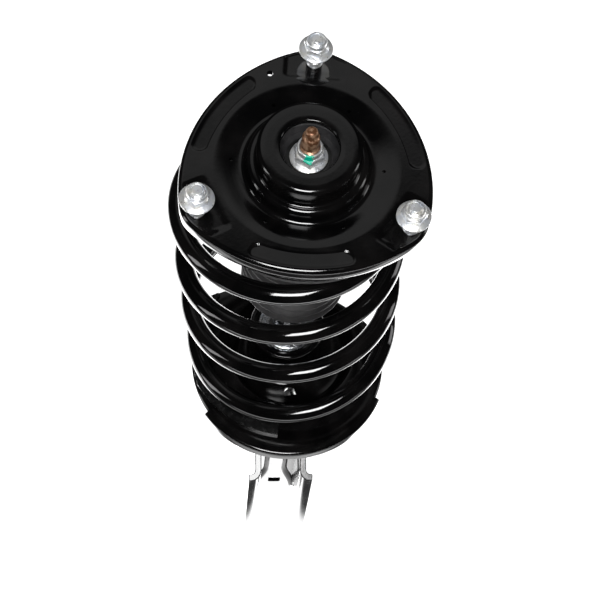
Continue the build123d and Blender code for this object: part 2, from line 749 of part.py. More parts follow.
with BuildPart() as lower_spring_seat:
    with BuildSketch(Plane.XY.offset(seat_top_z - seat_rim_depth)):
        add(seat_outline.sketch)
    extrude(amount=seat_rim_depth)
    with BuildSketch(Plane.XY.offset(seat_top_z - seat_rim_depth)):
        add(seat_outline.sketch)
        offset(amount=-seat_t, kind=Kind.INTERSECTION, mode=Mode.REPLACE)
    extrude(amount=seat_rim_depth - seat_t, mode=Mode.SUBTRACT)
    with BuildSketch(Plane.XY.offset(seat_top_z - seat_t)):
        with Locations(well_centre):
            Circle(well_r)
    extrude(amount=seat_t, mode=Mode.SUBTRACT)
    with BuildSketch(profile_plane(well_centre)):
        with BuildLine():
            Polyline(
                (well_r, seat_top_z), (well_floor_r, seat_top_z - well_depth),
                (0, seat_top_z - well_depth), (0, seat_top_z - well_depth - seat_t),
                (well_floor_r + seat_t * 0.7, seat_top_z - well_depth - seat_t),
                (well_r + seat_t * 0.8, seat_top_z - seat_t), (well_r + seat_t * 0.8, seat_top_z),
                close=True,
            )
        make_face()
    revolve(axis=turning_axis(well_centre))
    with BuildSketch(Plane.XY.offset(seat_top_z - well_depth)):
        Circle(tube_r + hub_wall)
    extrude(amount=-hub_length)
    with BuildSketch(Plane.XY.offset(seat_top_z - well_depth)):
        Circle(tube_r)
    extrude(amount=-hub_length, mode=Mode.SUBTRACT)
    with BuildSketch(Plane.XY.offset(seat_top_z - well_depth)):
        with PolarLocations(tube_r + drain_hole_gap, drain_hole_count, -90):
            Circle(drain_hole_r)
            with Locations((-drain_hole_r - drain_flat, 0)):
                Rectangle(2 * drain_hole_r, 2 * drain_hole_r, mode=Mode.SUBTRACT)
    extrude(amount=-seat_t, mode=Mode.SUBTRACT)
lower_spring_seat.part.label = "lower_spring_seat"
export_step(lower_spring_seat.part, "parts/lower_spring_seat.step")

with BuildPart() as lower_spring_isolator:
    with BuildSketch(Plane.XY.offset(seat_top_z)):
        add(seat_outline.sketch)
        offset(amount=-isolator_inset, kind=Kind.INTERSECTION, mode=Mode.REPLACE)
        with Locations(spring_bottom_centre):
            Circle(coil_r - wire_r * 1.2, mode=Mode.SUBTRACT)
        with BuildLine(Plane(origin=(*spring_bottom_centre, 0))):
            middle_angle = (isolator_from_angle + isolator_to_angle) / 2
            Polyline((0, 0), direction(isolator_from_angle, 2 * seat_r), direction(middle_angle, 4 * seat_r),
                     direction(isolator_to_angle, 2 * seat_r), close=True)
        make_face(mode=Mode.INTERSECT)
    extrude(amount=lower_isolator_t)
lower_spring_isolator.part.label = "lower_spring_isolator"
export_step(lower_spring_isolator.part, "parts/lower_spring_isolator.step")

# ---- knuckle bracket: one strip wrapped round the tube, with two lipped ears ---------------
with BuildPart() as knuckle_bracket:
    with BuildSketch(Plane.XY.offset(bracket_bottom_z)):
        Circle(tube_r + bracket_t)
        with Locations((0, -ear_reach / 2)):
            Rectangle(ear_gap + 2 * bracket_t, ear_reach)
        with Locations((0, -ear_reach + lip_t / 2)):
            Rectangle(ear_gap + 2 * bracket_t + 2 * lip_width, lip_t)
        Circle(tube_r, mode=Mode.SUBTRACT)
        with Locations((0, -ear_reach / 2)):
            Rectangle(ear_gap, ear_reach, mode=Mode.SUBTRACT)
    extrude(amount=bracket_h)
    with BuildSketch(Plane.YZ.offset(-ear_gap)):
        with BuildLine():
            Polyline(
                (tube_r + 2 * bracket_t, bracket_bottom_z), (-ear_reach + ear_corner_r, bracket_bottom_z),
                (-ear_reach, bracket_bottom_z + ear_bottom_rise), (-ear_reach, bracket_top_z - ear_top_drop),
                (-tube_r, bracket_top_z), (tube_r + 2 * bracket_t, bracket_top_z), close=True,
            )
        make_face()
    extrude(amount=2 * ear_gap, mode=Mode.INTERSECT)
    with BuildSketch(Plane.YZ.offset(-ear_gap)):
        with Locations((bolt_y, bolt_upper_z), (bolt_y, bolt_lower_z)):
            Circle(bolt_r)
    extrude(amount=2 * ear_gap, mode=Mode.SUBTRACT)
    for side in (-1, 1):
        outer_x = side * (ear_gap / 2 + bracket_t)
        with BuildSketch(Plane.YZ.offset(outer_x)):
            with Locations((-ear_reach, bolt_upper_z), (-ear_reach, bolt_lower_z)):
                Circle(lip_waist_r)
        extrude(amount=side * (lip_width + 1), mode=Mode.SUBTRACT)
knuckle_bracket.part.label = "knuckle_bracket"
export_step(knuckle_bracket.part, "parts/knuckle_bracket.step")

with BuildPart() as bracket_front_plate:
    with BuildSketch(Plane.XZ.offset(tube_r + front_plate_gap)):
        with Locations((0, bracket_bottom_z + bracket_h / 2)):
            Rectangle(ear_gap, bracket_h - 2 * bracket_t)
        with Locations((0, bracket_bottom_z + window_rise + window_height / 2)):
            Rectangle(window_width, window_height, mode=Mode.SUBTRACT)
    extrude(amount=front_plate_t)
bracket_front_plate.part.label = "bracket_front_plate"
export_step(bracket_front_plate.part, "parts/bracket_front_plate.step")
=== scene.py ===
"""Visual model of a loaded suspension strut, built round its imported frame.

Sizes in the classes are in millimetres, in the frame's own axes: +Z runs up the piston rod, and
the knuckle bracket's ears point towards -Y. Meshes are made in metres.
"""
import functools
import logging
import math
from dataclasses import dataclass, field
from enum import Enum
from typing import Callable, Sequence

import bmesh
import bpy
from mathutils import Matrix, Vector

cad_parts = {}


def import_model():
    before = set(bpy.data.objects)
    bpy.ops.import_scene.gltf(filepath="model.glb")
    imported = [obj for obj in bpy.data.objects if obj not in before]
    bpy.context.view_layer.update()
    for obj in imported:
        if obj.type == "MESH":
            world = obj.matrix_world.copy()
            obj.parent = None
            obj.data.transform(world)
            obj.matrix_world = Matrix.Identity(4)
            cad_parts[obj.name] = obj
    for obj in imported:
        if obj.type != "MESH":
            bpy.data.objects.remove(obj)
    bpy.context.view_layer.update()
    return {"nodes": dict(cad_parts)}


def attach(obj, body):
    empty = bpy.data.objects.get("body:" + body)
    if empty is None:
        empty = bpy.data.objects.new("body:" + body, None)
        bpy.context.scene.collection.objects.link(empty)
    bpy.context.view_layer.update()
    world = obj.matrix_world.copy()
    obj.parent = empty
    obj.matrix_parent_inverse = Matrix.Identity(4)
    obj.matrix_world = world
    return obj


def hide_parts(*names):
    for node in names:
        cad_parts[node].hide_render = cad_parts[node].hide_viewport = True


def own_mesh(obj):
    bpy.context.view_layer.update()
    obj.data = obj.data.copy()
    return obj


MM = 0.001
SAME_PLACE = 2e-6
log = logging.getLogger("strut")

Point = tuple[float, float]
Point3 = tuple[float, float, float]
Ring = Callable[[float], Point3]
Colour = tuple[float, float, float]


class Body(Enum):
    """The frame's moving bodies."""

    MOUNT = "mount"
    TURNTABLE = "turntable"
    STRUT = "strut_body"


# ---- modelling tools ---------------------------------------------------------------------
def metres(x: float, y: float, z: float) -> Vector:
    """A point given in millimetres, in metres."""
    return Vector((x, y, z)) * MM


def polar(angle: float, radius: float) -> Point:
    """The point at an angle in degrees and a distance from the axis."""
    return radius * math.cos(math.radians(angle)), radius * math.sin(math.radians(angle))


def blend_step(value: float, low: float, high: float) -> float:
    """0 below low, 1 above high, and smooth between them."""
    t = min(1.0, max(0.0, (value - low) / (high - low)))
    return t * t * (3 - 2 * t)


def object_mode() -> None:
    """Leaves edit mode, if it is on."""
    if bpy.context.object is not None and bpy.context.object.mode != "OBJECT":
        bpy.ops.object.mode_set(mode="OBJECT")


def pick(*objects: bpy.types.Object) -> None:
    """Selects these objects alone. The first one becomes the active one."""
    object_mode()
    bpy.ops.object.select_all(action="DESELECT")
    for item in objects:
        item.select_set(True)
    bpy.context.view_layer.objects.active = objects[0]


def edit_all(piece: bpy.types.Object) -> None:
    """Opens a piece in edit mode with all of it selected."""
    pick(piece)
    bpy.ops.object.mode_set(mode="EDIT")
    bpy.ops.mesh.select_mode(type="VERT")
    bpy.ops.mesh.select_all(action="SELECT")


def started(name: str) -> bpy.types.Object:
    """Names the primitive that was just added and moves its place into its mesh."""
    piece = bpy.context.object
    piece.name = name
    piece.data.name = name
    pick(piece)
    bpy.ops.object.transform_apply(location=True, rotation=True, scale=True)
    return piece


def apply_modifier(piece: bpy.types.Object, kind: str, **settings: object) -> None:
    """Adds a modifier of that kind to a piece, sets it up and applies it."""
    pick(piece)
    bpy.ops.object.modifier_add(type=kind)
    modifier = piece.modifiers[-1]
    for key, value in settings.items():
        setattr(modifier, key, value)
    bpy.ops.object.modifier_apply(modifier=modifier.name)


def close_up(piece: bpy.types.Object, smooth_below: float = 35.0) -> bpy.types.Object:
    """Merges doubles, turns the faces outwards and smooths the shallow edges."""
    edit_all(piece)
    bpy.ops.mesh.remove_doubles(threshold=SAME_PLACE)
    bpy.ops.mesh.normals_make_consistent(inside=False)
    object_mode()
    bpy.ops.object.shade_smooth_by_angle(angle=math.radians(smooth_below))
    return piece


def join(name: str, *parts: bpy.types.Object) -> bpy.types.Object:
    """Makes one object of several."""
    pick(*parts)
    if len(parts) > 1:
        bpy.ops.object.join()
    parts[0].name = name
    return parts[0]


def combine(piece: bpy.types.Object, tool: bpy.types.Object, operation: str) -> None:
    """Cuts, joins or intersects a piece with a tool body, which is then removed."""
    apply_modifier(piece, "BOOLEAN", object=tool, operation=operation, solver="EXACT")
    bpy.data.objects.remove(tool)


def copy_turned(piece: bpy.types.Object, name: str, angle: float) -> bpy.types.Object:
    """A copy with its own mesh, turned by an angle in degrees about the strut's axis."""
    pick(piece)
    bpy.ops.object.duplicate(linked=False)
    twin = bpy.context.object
    twin.name = name
    twin.data.transform(Matrix.Rotation(math.radians(angle), 4, "Z"))
    return twin


def trace(name: str, points: Sequence[Point3]) -> bpy.types.Object:
    """Draws a chain of edges through the points by pulling one vertex from place to place.

    Args:
        name: the new object's name.
        points: the corners in millimetres. The chain closes where the last repeats the first.

    Returns:
        The new object, left in edit mode with all of it selected.
    """
    object_mode()
    bpy.ops.object.select_all(action="DESELECT")
    bpy.ops.mesh.primitive_plane_add(size=MM, location=metres(*points[0]))
    piece = started(name)
    edit_all(piece)
    bpy.ops.mesh.merge(type="CENTER")
    for here, there in zip(points, points[1:]):
        step = metres(*there) - metres(*here)
        bpy.ops.mesh.extrude_vertices_move(TRANSFORM_OT_translate={"value": step})
    bpy.ops.mesh.select_all(action="SELECT")
    bpy.ops.mesh.remove_doubles(threshold=SAME_PLACE)
    bpy.ops.mesh.select_all(action="SELECT")
    return piece


def round_corners(piece: bpy.types.Object, corners: Sequence[tuple[Vector, float]]) -> None:
    """Rounds chosen corners of a chain of edges that is open in edit mode.

    Args:
        piece: the chain.
        corners: each corner's place in metres and its radius in millimetres.
    """
    for place, radius in corners:
        bpy.ops.mesh.select_all(action="DESELECT")
        mesh = bmesh.from_edit_mesh(piece.data)
        for vertex in mesh.verts:
            vertex.select = (vertex.co - place).length < 10 * SAME_PLACE
        bmesh.update_edit_mesh(piece.data)
        bpy.ops.mesh.bevel(offset=radius * MM, segments=4, affect="VERTICES", clamp_overlap=True)
    bpy.ops.mesh.select_all(action="SELECT")


def lathe(name: str, profile: Sequence[tuple[float, ...]], centre: Point = (0.0, 0.0),
          steps: int = 96) -> bpy.types.Object:
    """Turns a closed profile round a vertical axis.

    Args:
        name: the new object's name.
        profile: corners as (radius, height) or (radius, height, rounding), in millimetres.
        centre: where the axis crosses the XY plane.
        steps: how many flats the full turn has.

    Returns:
        The turned body.
    """
    points = [(centre[0] + p[0], centre[1], p[1]) for p in profile]
    piece = trace(name, [*points, points[0]])
    round_corners(piece, [(metres(*at), p[2]) for at, p in zip(points, profile) if len(p) > 2])
    bpy.ops.mesh.spin(steps=steps, angle=math.tau, center=metres(centre[0], centre[1], 0),
                      axis=(0, 0, 1))
    return close_up(piece)


def thread_ridge(root: float, crest: float, pitch: float, low: float, turns: int) -> bpy.types.Object:
    """Winds a thread's ridge round a shank on the strut's axis.

    Args:
        root: the shank's radius between the ridges, in millimetres.
        crest: the thread's outer radius.
        pitch: how far the ridge climbs in a turn.
        low: the height that it starts at.
        turns: how many turns it makes.

    Returns:
        The ridge, a closed body that is let into the shank.
    """
    inner = root - 0.25
    ridge = trace("thread", [
        (inner, 0, low), (crest, 0, low + 0.40 * pitch), (crest, 0, low + 0.54 * pitch),
        (inner, 0, low + 0.92 * pitch), (inner, 0, low)])
    bpy.ops.mesh.edge_face_add()
    object_mode()
    apply_modifier(ridge, "SCREW", axis="Z", screw_offset=pitch * MM, iterations=turns, steps=28,
                   render_steps=28)
    return close_up(ridge)


def ring_stack(name: str, rings: Sequence[Ring], angles: Sequence[float]) -> bpy.types.Object:
    """Pulls a ring of edges from one outline to the next, as a shell is drawn over a former.

    Args:
        name: the new object's name.
        rings: outlines that give a point in millimetres for an angle in degrees.
        angles: where each outline has its points.

    Returns:
        The shell. It is closed when the last outline repeats the first.
    """
    object_mode()
    bpy.ops.object.select_all(action="DESELECT")
    bpy.ops.mesh.primitive_circle_add(vertices=len(angles), radius=MM, fill_type="NOTHING")
    piece = started(name)
    edit_all(piece)
    mesh = bmesh.from_edit_mesh(piece.data)
    step = mesh.verts.layers.int.new("step")
    mesh.verts.ensure_lookup_table()
    for i, vertex in enumerate(mesh.verts):
        vertex[step] = i
        vertex.co = metres(*rings[0](angles[i]))
    bmesh.update_edit_mesh(piece.data)
    for ring in rings[1:]:
        bpy.ops.mesh.extrude_edges_move()
        mesh = bmesh.from_edit_mesh(piece.data)
        step = mesh.verts.layers.int["step"]
        for vertex in mesh.verts:
            if vertex.select:
                vertex.co = metres(*ring(angles[vertex[step]]))
        bmesh.update_edit_mesh(piece.data)
    object_mode()
    piece.data.attributes.remove(piece.data.attributes["step"])
    return close_up(piece)


# ---- finishes ----------------------------------------------------------------------------
class Shader:
    """A material that is built up node by node."""

    def __init__(self, name: str) -> None:
        """Starts a new material with an empty Principled shader."""
        self.material = bpy.data.materials.new(name)
        self.material.use_nodes = True
        self.nodes = self.material.node_tree.nodes
        self.links = self.material.node_tree.links
        self.surface = self.nodes["Principled BSDF"]
        self.place = self.nodes.new("ShaderNodeTexCoord").outputs["Object"]

    def set(self, **values: object) -> None:
        """Sets the surface's sockets. An underscore stands for a space in a socket's name."""
        for key, value in values.items():
            self.surface.inputs[key.replace("_", " ")].default_value = value

    def noise(self, scale: float, detail: float = 3.0) -> bpy.types.NodeSocket:
        """A noise value that has about so many waves in a metre."""
        node = self.nodes.new("ShaderNodeTexNoise")
        node.inputs["Scale"].default_value = scale
        node.inputs["Detail"].default_value = detail
        self.links.new(self.place, node.inputs["Vector"])
        return node.outputs["Fac"]

    def ramp(self, value: bpy.types.NodeSocket, low: float, high: float, start: float = 0.0,
             end: float = 1.0) -> bpy.types.NodeSocket:
        """Maps low..high of a value to start..end, held at both ends."""
        node = self.nodes.new("ShaderNodeMapRange")
        for key, number in (("From Min", low), ("From Max", high), ("To Min", start), ("To Max", end)):
            node.inputs[key].default_value = number
        self.links.new(value, node.inputs["Value"])
        return node.outputs["Result"]

    def math(self, operation: str, a: bpy.types.NodeSocket, b: object) -> bpy.types.NodeSocket:
        """One sum of two values, the second a socket or a number."""
        node = self.nodes.new("ShaderNodeMath")
        node.operation = operation
        self.links.new(a, node.inputs[0])
        if isinstance(b, (int, float)):
            node.inputs[1].default_value = b
        else:
            self.links.new(b, node.inputs[1])
        return node.outputs["Value"]

    def axis(self, name: str) -> bpy.types.NodeSocket:
        """One coordinate of the point on the piece, in metres."""
        node = self.nodes.new("ShaderNodeSeparateXYZ")
        self.links.new(self.place, node.inputs["Vector"])
        return node.outputs[name]

    def mix(self, share: bpy.types.NodeSocket, a: object, b: object) -> bpy.types.NodeSocket:
        """A colour between two others, each a colour or a socket."""
        node = self.nodes.new("ShaderNodeMix")
        node.data_type = "RGBA"
        self.links.new(share, node.inputs["Factor"])
        for socket, value in ((node.inputs[6], a), (node.inputs[7], b)):
            if isinstance(value, bpy.types.NodeSocket):
                self.links.new(value, socket)
            else:
                socket.default_value = (*value, 1.0)
        return node.outputs[2]

    def feed(self, socket: str, value: bpy.types.NodeSocket) -> None:
        """Links a value to one of the surface's sockets."""
        self.links.new(value, self.surface.inputs[socket])

    def bump(self, height: bpy.types.NodeSocket, depth: float, strength: float = 1.0) -> None:
        """Raises the surface by a height value, to a depth in millimetres."""
        node = self.nodes.new("ShaderNodeBump")
        node.inputs["Strength"].default_value = strength
        node.inputs["Distance"].default_value = depth * MM
        self.links.new(height, node.inputs["Height"])
        self.links.new(node.outputs["Normal"], self.surface.inputs["Normal"])


@dataclass(frozen=True)
class GlossPaint:
    """Black stoved paint: faint orange peel, a little dust and uneven gloss."""

    name: str
    colour: Colour = (0.0009, 0.0009, 0.001)
    dust: Colour = (0.0042, 0.0038, 0.0038)
    gloss: tuple[float, float] = (0.07, 0.15)
    peel: float = 0.012

    def make(self) -> bpy.types.Material:
        """Builds the material."""
        shader = Shader(self.name)
        film = shader.ramp(shader.noise(38.0, 5.0), 0.42, 0.72)
        shader.feed("Base Color", shader.mix(film, self.colour, self.dust))
        shader.feed("Roughness", shader.ramp(shader.noise(70.0, 4.0), 0.35, 0.7, *self.gloss))
        shader.bump(shader.noise(420.0, 2.0), self.peel)
        return shader.material


@dataclass(frozen=True)
class Plating:
    """Bright zinc plate: metal with a faint grain and a little blue and straw tint."""

    name: str
    cool: Colour = (0.78, 0.81, 0.86)
    warm: Colour = (0.86, 0.85, 0.81)
    rough: tuple[float, float] = (0.24, 0.4)
    grain: float = 0.12
    metal: float = 0.78

    def make(self) -> bpy.types.Material:
        """Builds the material."""
        shader = Shader(self.name)
        self.dress(shader)
        return shader.material

    def dress(self, shader: Shader) -> bpy.types.NodeSocket:
        """Adds the plating to a shader and returns its colour."""
        shader.set(Metallic=self.metal)
        tint = shader.mix(shader.ramp(shader.noise(160.0, 4.0), 0.35, 0.65), self.cool, self.warm)
        shader.feed("Base Color", tint)
        shader.feed("Roughness", shader.ramp(shader.noise(420.0, 5.0), 0.3, 0.7, *self.rough))
        shader.bump(shader.noise(700.0, 4.0), self.grain)
        return tint


@dataclass(frozen=True)
class MarkedPlating(Plating):
    """Zinc plate with an inspector's dab of paint on the side that faces the ears."""

    mark: Colour = (0.0, 0.42, 0.27)
    across: tuple[float, float] = (-3.0, 1.6)
    height: tuple[float, float] = (15.5, 24.5)

    def make(self) -> bpy.types.Material:
        """Builds the material."""
        shader = Shader(self.name)
        tint = self.dress(shader)
        wobble = shader.ramp(shader.noise(420.0, 4.0), 0.3, 0.7, -1.3 * MM, 1.3 * MM)
        middle = sum(self.across) / 2 * MM
        half = (self.across[1] - self.across[0]) / 2 * MM
        side = shader.math("ABSOLUTE", shader.math("SUBTRACT", shader.axis("X"), middle), 0.0)
        side = shader.ramp(shader.math("ADD", side, wobble), half, half + 0.3 * MM, 1.0, 0.0)
        centre = sum(self.height) / 2 * MM
        tall = (self.height[1] - self.height[0]) / 2 * MM
        rise = shader.math("ABSOLUTE", shader.math("SUBTRACT", shader.axis("Z"), centre), 0.0)
        rise = shader.ramp(shader.math("ADD", rise, wobble), tall, tall + 0.3 * MM, 1.0, 0.0)
        front = shader.ramp(shader.axis("Y"), -2.5 * MM, -2.2 * MM, 1.0, 0.0)
        dab = shader.math("MULTIPLY", shader.math("MULTIPLY", side, rise), front)
        shader.feed("Base Color", shader.mix(dab, tint, self.mark))
        shader.feed("Metallic", shader.ramp(dab, 0, 1, self.metal, 0))
        return shader.material


@dataclass(frozen=True)
class WornSteel:
    """Bare steel that has browned above a height and is bright chrome below it."""

    name: str
    brown: Colour = (0.13, 0.055, 0.025)
    pale: Colour = (0.4, 0.24, 0.15)
    chrome: Colour = (0.55, 0.56, 0.58)
    bright_below: float = 20.0

    def make(self) -> bpy.types.Material:
        """Builds the material."""
        shader = Shader(self.name)
        rust = shader.mix(shader.ramp(shader.noise(330.0, 6.0), 0.42, 0.6), self.brown, self.pale)
        low, high = (self.bright_below - 1) * MM, (self.bright_below + 1) * MM
        share = shader.ramp(shader.axis("Z"), low, high)
        shader.feed("Base Color", shader.mix(share, self.chrome, rust))
        shader.feed("Roughness", shader.ramp(share, 0, 1, 0.14, 0.36))
        shader.feed("Metallic", shader.ramp(share, 0, 1, 1.0, 0.55))
        shader.bump(shader.noise(1100.0, 5.0), 0.05)
        return shader.material


@dataclass(frozen=True)
class Moulding:
    """Rubber, foam or plastic: matte, with a fine skin and a bloom in random patches."""

    name: str
    colour: Colour = (0.012, 0.012, 0.013)
    bloom: Colour = (0.028, 0.027, 0.028)
    rough: tuple[float, float] = (0.42, 0.62)
    skin: float = 0.03

    def make(self) -> bpy.types.Material:
        """Builds the material."""
        shader = Shader(self.name)
        shade = shader.mix(shader.ramp(shader.noise(90.0, 5.0), 0.4, 0.7), self.colour, self.bloom)
        shader.feed("Base Color", shade)
        shader.feed("Roughness", shader.ramp(shader.noise(240.0, 4.0), 0.35, 0.65, *self.rough))
        shader.bump(shader.noise(1400.0, 3.0), self.skin)
        return shader.material


@dataclass(frozen=True)
class TurnedSteel:
    """Machined steel or sintered iron with its tool marks running round the axis."""

    name: str
    colour: Colour = (0.42, 0.42, 0.43)
    darker: Colour = (0.3, 0.3, 0.31)
    rough: tuple[float, float] = (0.22, 0.38)
    marks: float = 0.01

    def make(self) -> bpy.types.Material:
        """Builds the material."""
        shader = Shader(self.name)
        shader.set(Metallic=1.0)
        shade = shader.mix(shader.ramp(shader.noise(120.0, 4.0), 0.35, 0.65), self.colour, self.darker)
        shader.feed("Base Color", shade)
        shader.feed("Roughness", shader.ramp(shader.noise(300.0, 4.0), 0.3, 0.7, *self.rough))
        wave = shader.nodes.new("ShaderNodeTexWave")
        wave.bands_direction = "Z"
        wave.inputs["Scale"].default_value = 900.0
        wave.inputs["Distortion"].default_value = 0.6
        shader.links.new(shader.place, wave.inputs["Vector"])
        shader.bump(wave.outputs["Fac"], self.marks)
        return shader.material


class Finish(Enum):
    """Each finish on the strut, with the record's slot that it belongs to."""

    PAINT = ("black_paint", GlossPaint("stoved_paint"))
    BRACKET = ("black_paint", GlossPaint("bracket_paint", gloss=(0.08, 0.15)))
    SPRING = ("spring_coat", GlossPaint("coil_coating", gloss=(0.05, 0.1), peel=0.016))
    ZINC = ("zinc_plate", Plating("bright_zinc"))
    MARKED = ("zinc_plate", MarkedPlating("bright_zinc_marked"))
    SEAL_PLATE = ("zinc_plate", Plating(
        "dull_zinc", cool=(0.4, 0.43, 0.48), warm=(0.5, 0.5, 0.5), rough=(0.16, 0.3), metal=1.0))
    BLACKED = ("zinc_plate", GlossPaint(
        "blacked_steel", colour=(0.004, 0.004, 0.004), dust=(0.009, 0.009, 0.009), gloss=(0.3, 0.45)))
    PAD = ("rubber", Moulding(
        "pad_rubber", colour=(0.0015, 0.0015, 0.0016), bloom=(0.004, 0.004, 0.004), rough=(0.16, 0.3)))
    STEEL = ("plain_steel", TurnedSteel("turned_steel"))
    ROD = ("chromed_rod", WornSteel("browned_rod"))
    RUBBER = ("rubber", Moulding("moulded_rubber"))
    BOOT = ("rubber", Moulding(
        "boot_rubber", colour=(0.016, 0.015, 0.016), bloom=(0.035, 0.033, 0.034)))
    FOAM = ("foam_urethane", Moulding("foam", colour=(0.5, 0.44, 0.26), bloom=(0.6, 0.54, 0.36)))
    IRON = ("sintered_iron", TurnedSteel(
        "porous_iron", colour=(0.2, 0.2, 0.21), darker=(0.14, 0.14, 0.15), rough=(0.4, 0.6)))
    POLYMER = ("slide_polymer", Moulding(
        "grey_nylon", colour=(0.16, 0.16, 0.17), bloom=(0.22, 0.22, 0.23)))

    @functools.cache
    def material(self) -> bpy.types.Material:
        """The finish's material, made the first time that it is asked for."""
        return self.value[1].make()


def dress(piece: bpy.types.Object, finish: Finish, body: Body, *nodes: str) -> bpy.types.Object:
    """Gives a piece its finish, sets it riding on its body and lets it stand for CAD nodes."""
    piece.data.materials.clear()
    piece.data.materials.append(finish.material())
    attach(piece, body.value)
    if nodes:
        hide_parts(*nodes)
    log.info("%s: %d faces, %s on %s", piece.name, len(piece.data.polygons), finish.name, body.value)
    return piece


# ---- top mount ---------------------------------------------------------------------------
@dataclass
class MountPlate:
    """The pressed three-cornered plate: dome, moat, stamped crescents and rolled rim."""

    stud_clock: float = 85.0
    corner_centre_r: float = 62.0
    corner_arc_r: float = 22.0
    side_reach: float = 73.5
    thickness: float = 3.0
    rim_depth: float = 10.0
    rim_roll: float = 2.8
    crescent_outer: float = 2.9
    crescent_inner: float = 13.2
    crescent_half_angle: float = 19.0
    crescent_step: float = 0.4
    crescent_slope: float = 0.5
    side_share: float = 0.55
    boss_from: float = 62.0
    boss_half_width: float = 18.0
    boss_height: float = -0.7
    boss_edge: float = 2.2
    flat_from: float = 57.0
    pip_circle: float = 46.7
    pip_clock: float = -5.0
    pip_r: float = 1.1
    bleed_hole: Point = (-21.6, 64.6)
    bleed_hole_r: float = 2.0
    points_round: int = 720
    dome: tuple[tuple[float, float], ...] = (
        (17.9, 18.4), (17.9, 20.5), (18.05, 21.0), (18.4, 21.3), (18.9, 21.4), (22.0, 21.4),
        (26.0, 21.4), (28.9, 21.4), (29.8, 21.25), (30.6, 20.85), (31.25, 20.25), (31.7, 19.4),
        (31.95, 18.4), (32.0, 17.2), (32.0, 12.0), (32.0, 8.2), (32.1, 7.2), (32.5, 6.4),
        (33.1, 6.0), (33.9, 5.95), (34.9, 5.9), (35.8, 5.6), (36.6, 5.0), (37.2, 4.1),
        (37.6, 2.9), (38.0, 1.2), (38.4, -0.2), (38.9, -1.2), (39.7, -1.9), (40.8, -2.2),
        (42.5, -2.15), (44.5, -1.9), (47.0, -1.45), (50.0, -0.85), (52.5, -0.42), (55.0, -0.12),
    )
    underside: tuple[tuple[float, float], ...] = (
        (52.0, -3.2), (47.0, -5.2), (42.5, -5.2), (38.4, -5.2), (37.2, -1.4), (36.0, 2.0),
        (32.0, 2.0), (29.6, 3.0), (29.0, 5.0), (29.0, 12.0), (29.0, 18.4), (23.0, 18.4),
    )

    def side_offset(self) -> float:
        """Distance from the axis to the middle of each side's arc."""
        reach = self.corner_centre_r + self.corner_arc_r - self.side_reach
        return (2 * reach * self.corner_centre_r - reach**2) / (self.corner_centre_r - 2 * reach)

    def side_arc(self, mid: float) -> tuple[Point, float]:
        """Middle and radius of the arc that makes the side facing an angle."""
        offset = self.side_offset()
        return polar(mid + 180, offset), self.side_reach + offset

    def edge(self, angle: float, inset: float) -> Point:
        """The point of the outline at an angle, or of the same outline a distance inside it."""
        nearest = round((angle - self.stud_clock) / 120) * 120 + self.stud_clock
        mid = nearest + (60 if angle > nearest else -60)
        middle, radius = self.side_arc(mid)
        corner = polar(nearest, self.corner_centre_r)
        away = Vector((corner[0] - middle[0], corner[1] - middle[1])).normalized()
        tangent = Vector(middle) + away * (radius - inset)
        turned = abs(math.degrees(math.atan2(tangent.y, tangent.x)) - nearest + 180) % 360 - 180
        if abs(angle - nearest) < abs(turned):
            middle, radius = corner, self.corner_arc_r
        along = Vector(polar(angle, 1.0))
        to_middle = along.dot(Vector(middle))
        beside = Vector(middle).length_squared - to_middle**2
        reach = to_middle + math.sqrt((radius - inset) ** 2 - beside)
        return along.x * reach, along.y * reach

    def relief(self, x: float, y: float) -> float:
        """How far the stamped crescents and the studs' bosses move the plate's face."""
        height = 0.0
        for i in range(3):
            mid = self.stud_clock + 180 + 120 * i
            middle, radius = self.side_arc(mid)
            dx, dy = x - middle[0], y - middle[1]
            inset = radius - math.hypot(dx, dy)
            turn = (math.degrees(math.atan2(dy, dx)) - mid + 180) % 360 - 180
            width = self.crescent_inner - self.crescent_outer
            across = (inset - self.crescent_outer) / width
            past = (abs(turn) - self.crescent_half_angle) * math.radians(radius - inset)
            rounding = width / 2 * (1 - math.sqrt(max(0.0, 1 - (2 * across - 1) ** 2)))
            end = min(1.0, max(0.0, 0.5 - (past + rounding)))
            step = min(1.0, max(0.0, (1.03 - across) / 0.055))
            if across > 0:
                depth = self.crescent_step * blend_step(across, 0.0, 0.25)
                depth += self.crescent_slope * across
                height -= depth * end * step * (self.side_share if i else 1.0)
            boss = self.stud_clock + 120 * i
            c, s = polar(boss, 1.0)
            inward, beside = x * c + y * s, abs(y * c - x * s)
            shape = blend_step(inward, self.boss_from - self.boss_edge, self.boss_from + self.boss_edge)
            shape *= 1 - blend_step(beside, self.boss_half_width - self.boss_edge,
                                    self.boss_half_width + self.boss_edge)
            height += self.boss_height * shape
        return height

    def circle(self, radius: float, z: float) -> Ring:
        """A round outline at one height."""
        return lambda angle: (*polar(angle, radius), z)

    def inset(self, distance: float, z: float, stamped: bool) -> Ring:
        """The plate's outline a distance inside its edge, with or without the stampings."""
        def ring(angle: float) -> Point3:
            x, y = self.edge(angle, distance)
            return x, y, z + (self.relief(x, y) if stamped else 0.0)
        return ring

    def between(self, share: float, inner: float, z: float, stamped: bool) -> Ring:
        """An outline part of the way from the round moat to the plate's inset outline."""
        def ring(angle: float) -> Point3:
            a, b = polar(angle, self.flat_from), self.edge(angle, inner)
            x, y = (a[0] + (b[0] - a[0]) * share, a[1] + (b[1] - a[1]) * share)
            return x, y, z + (self.relief(x, y) if stamped else 0.0)
        return ring

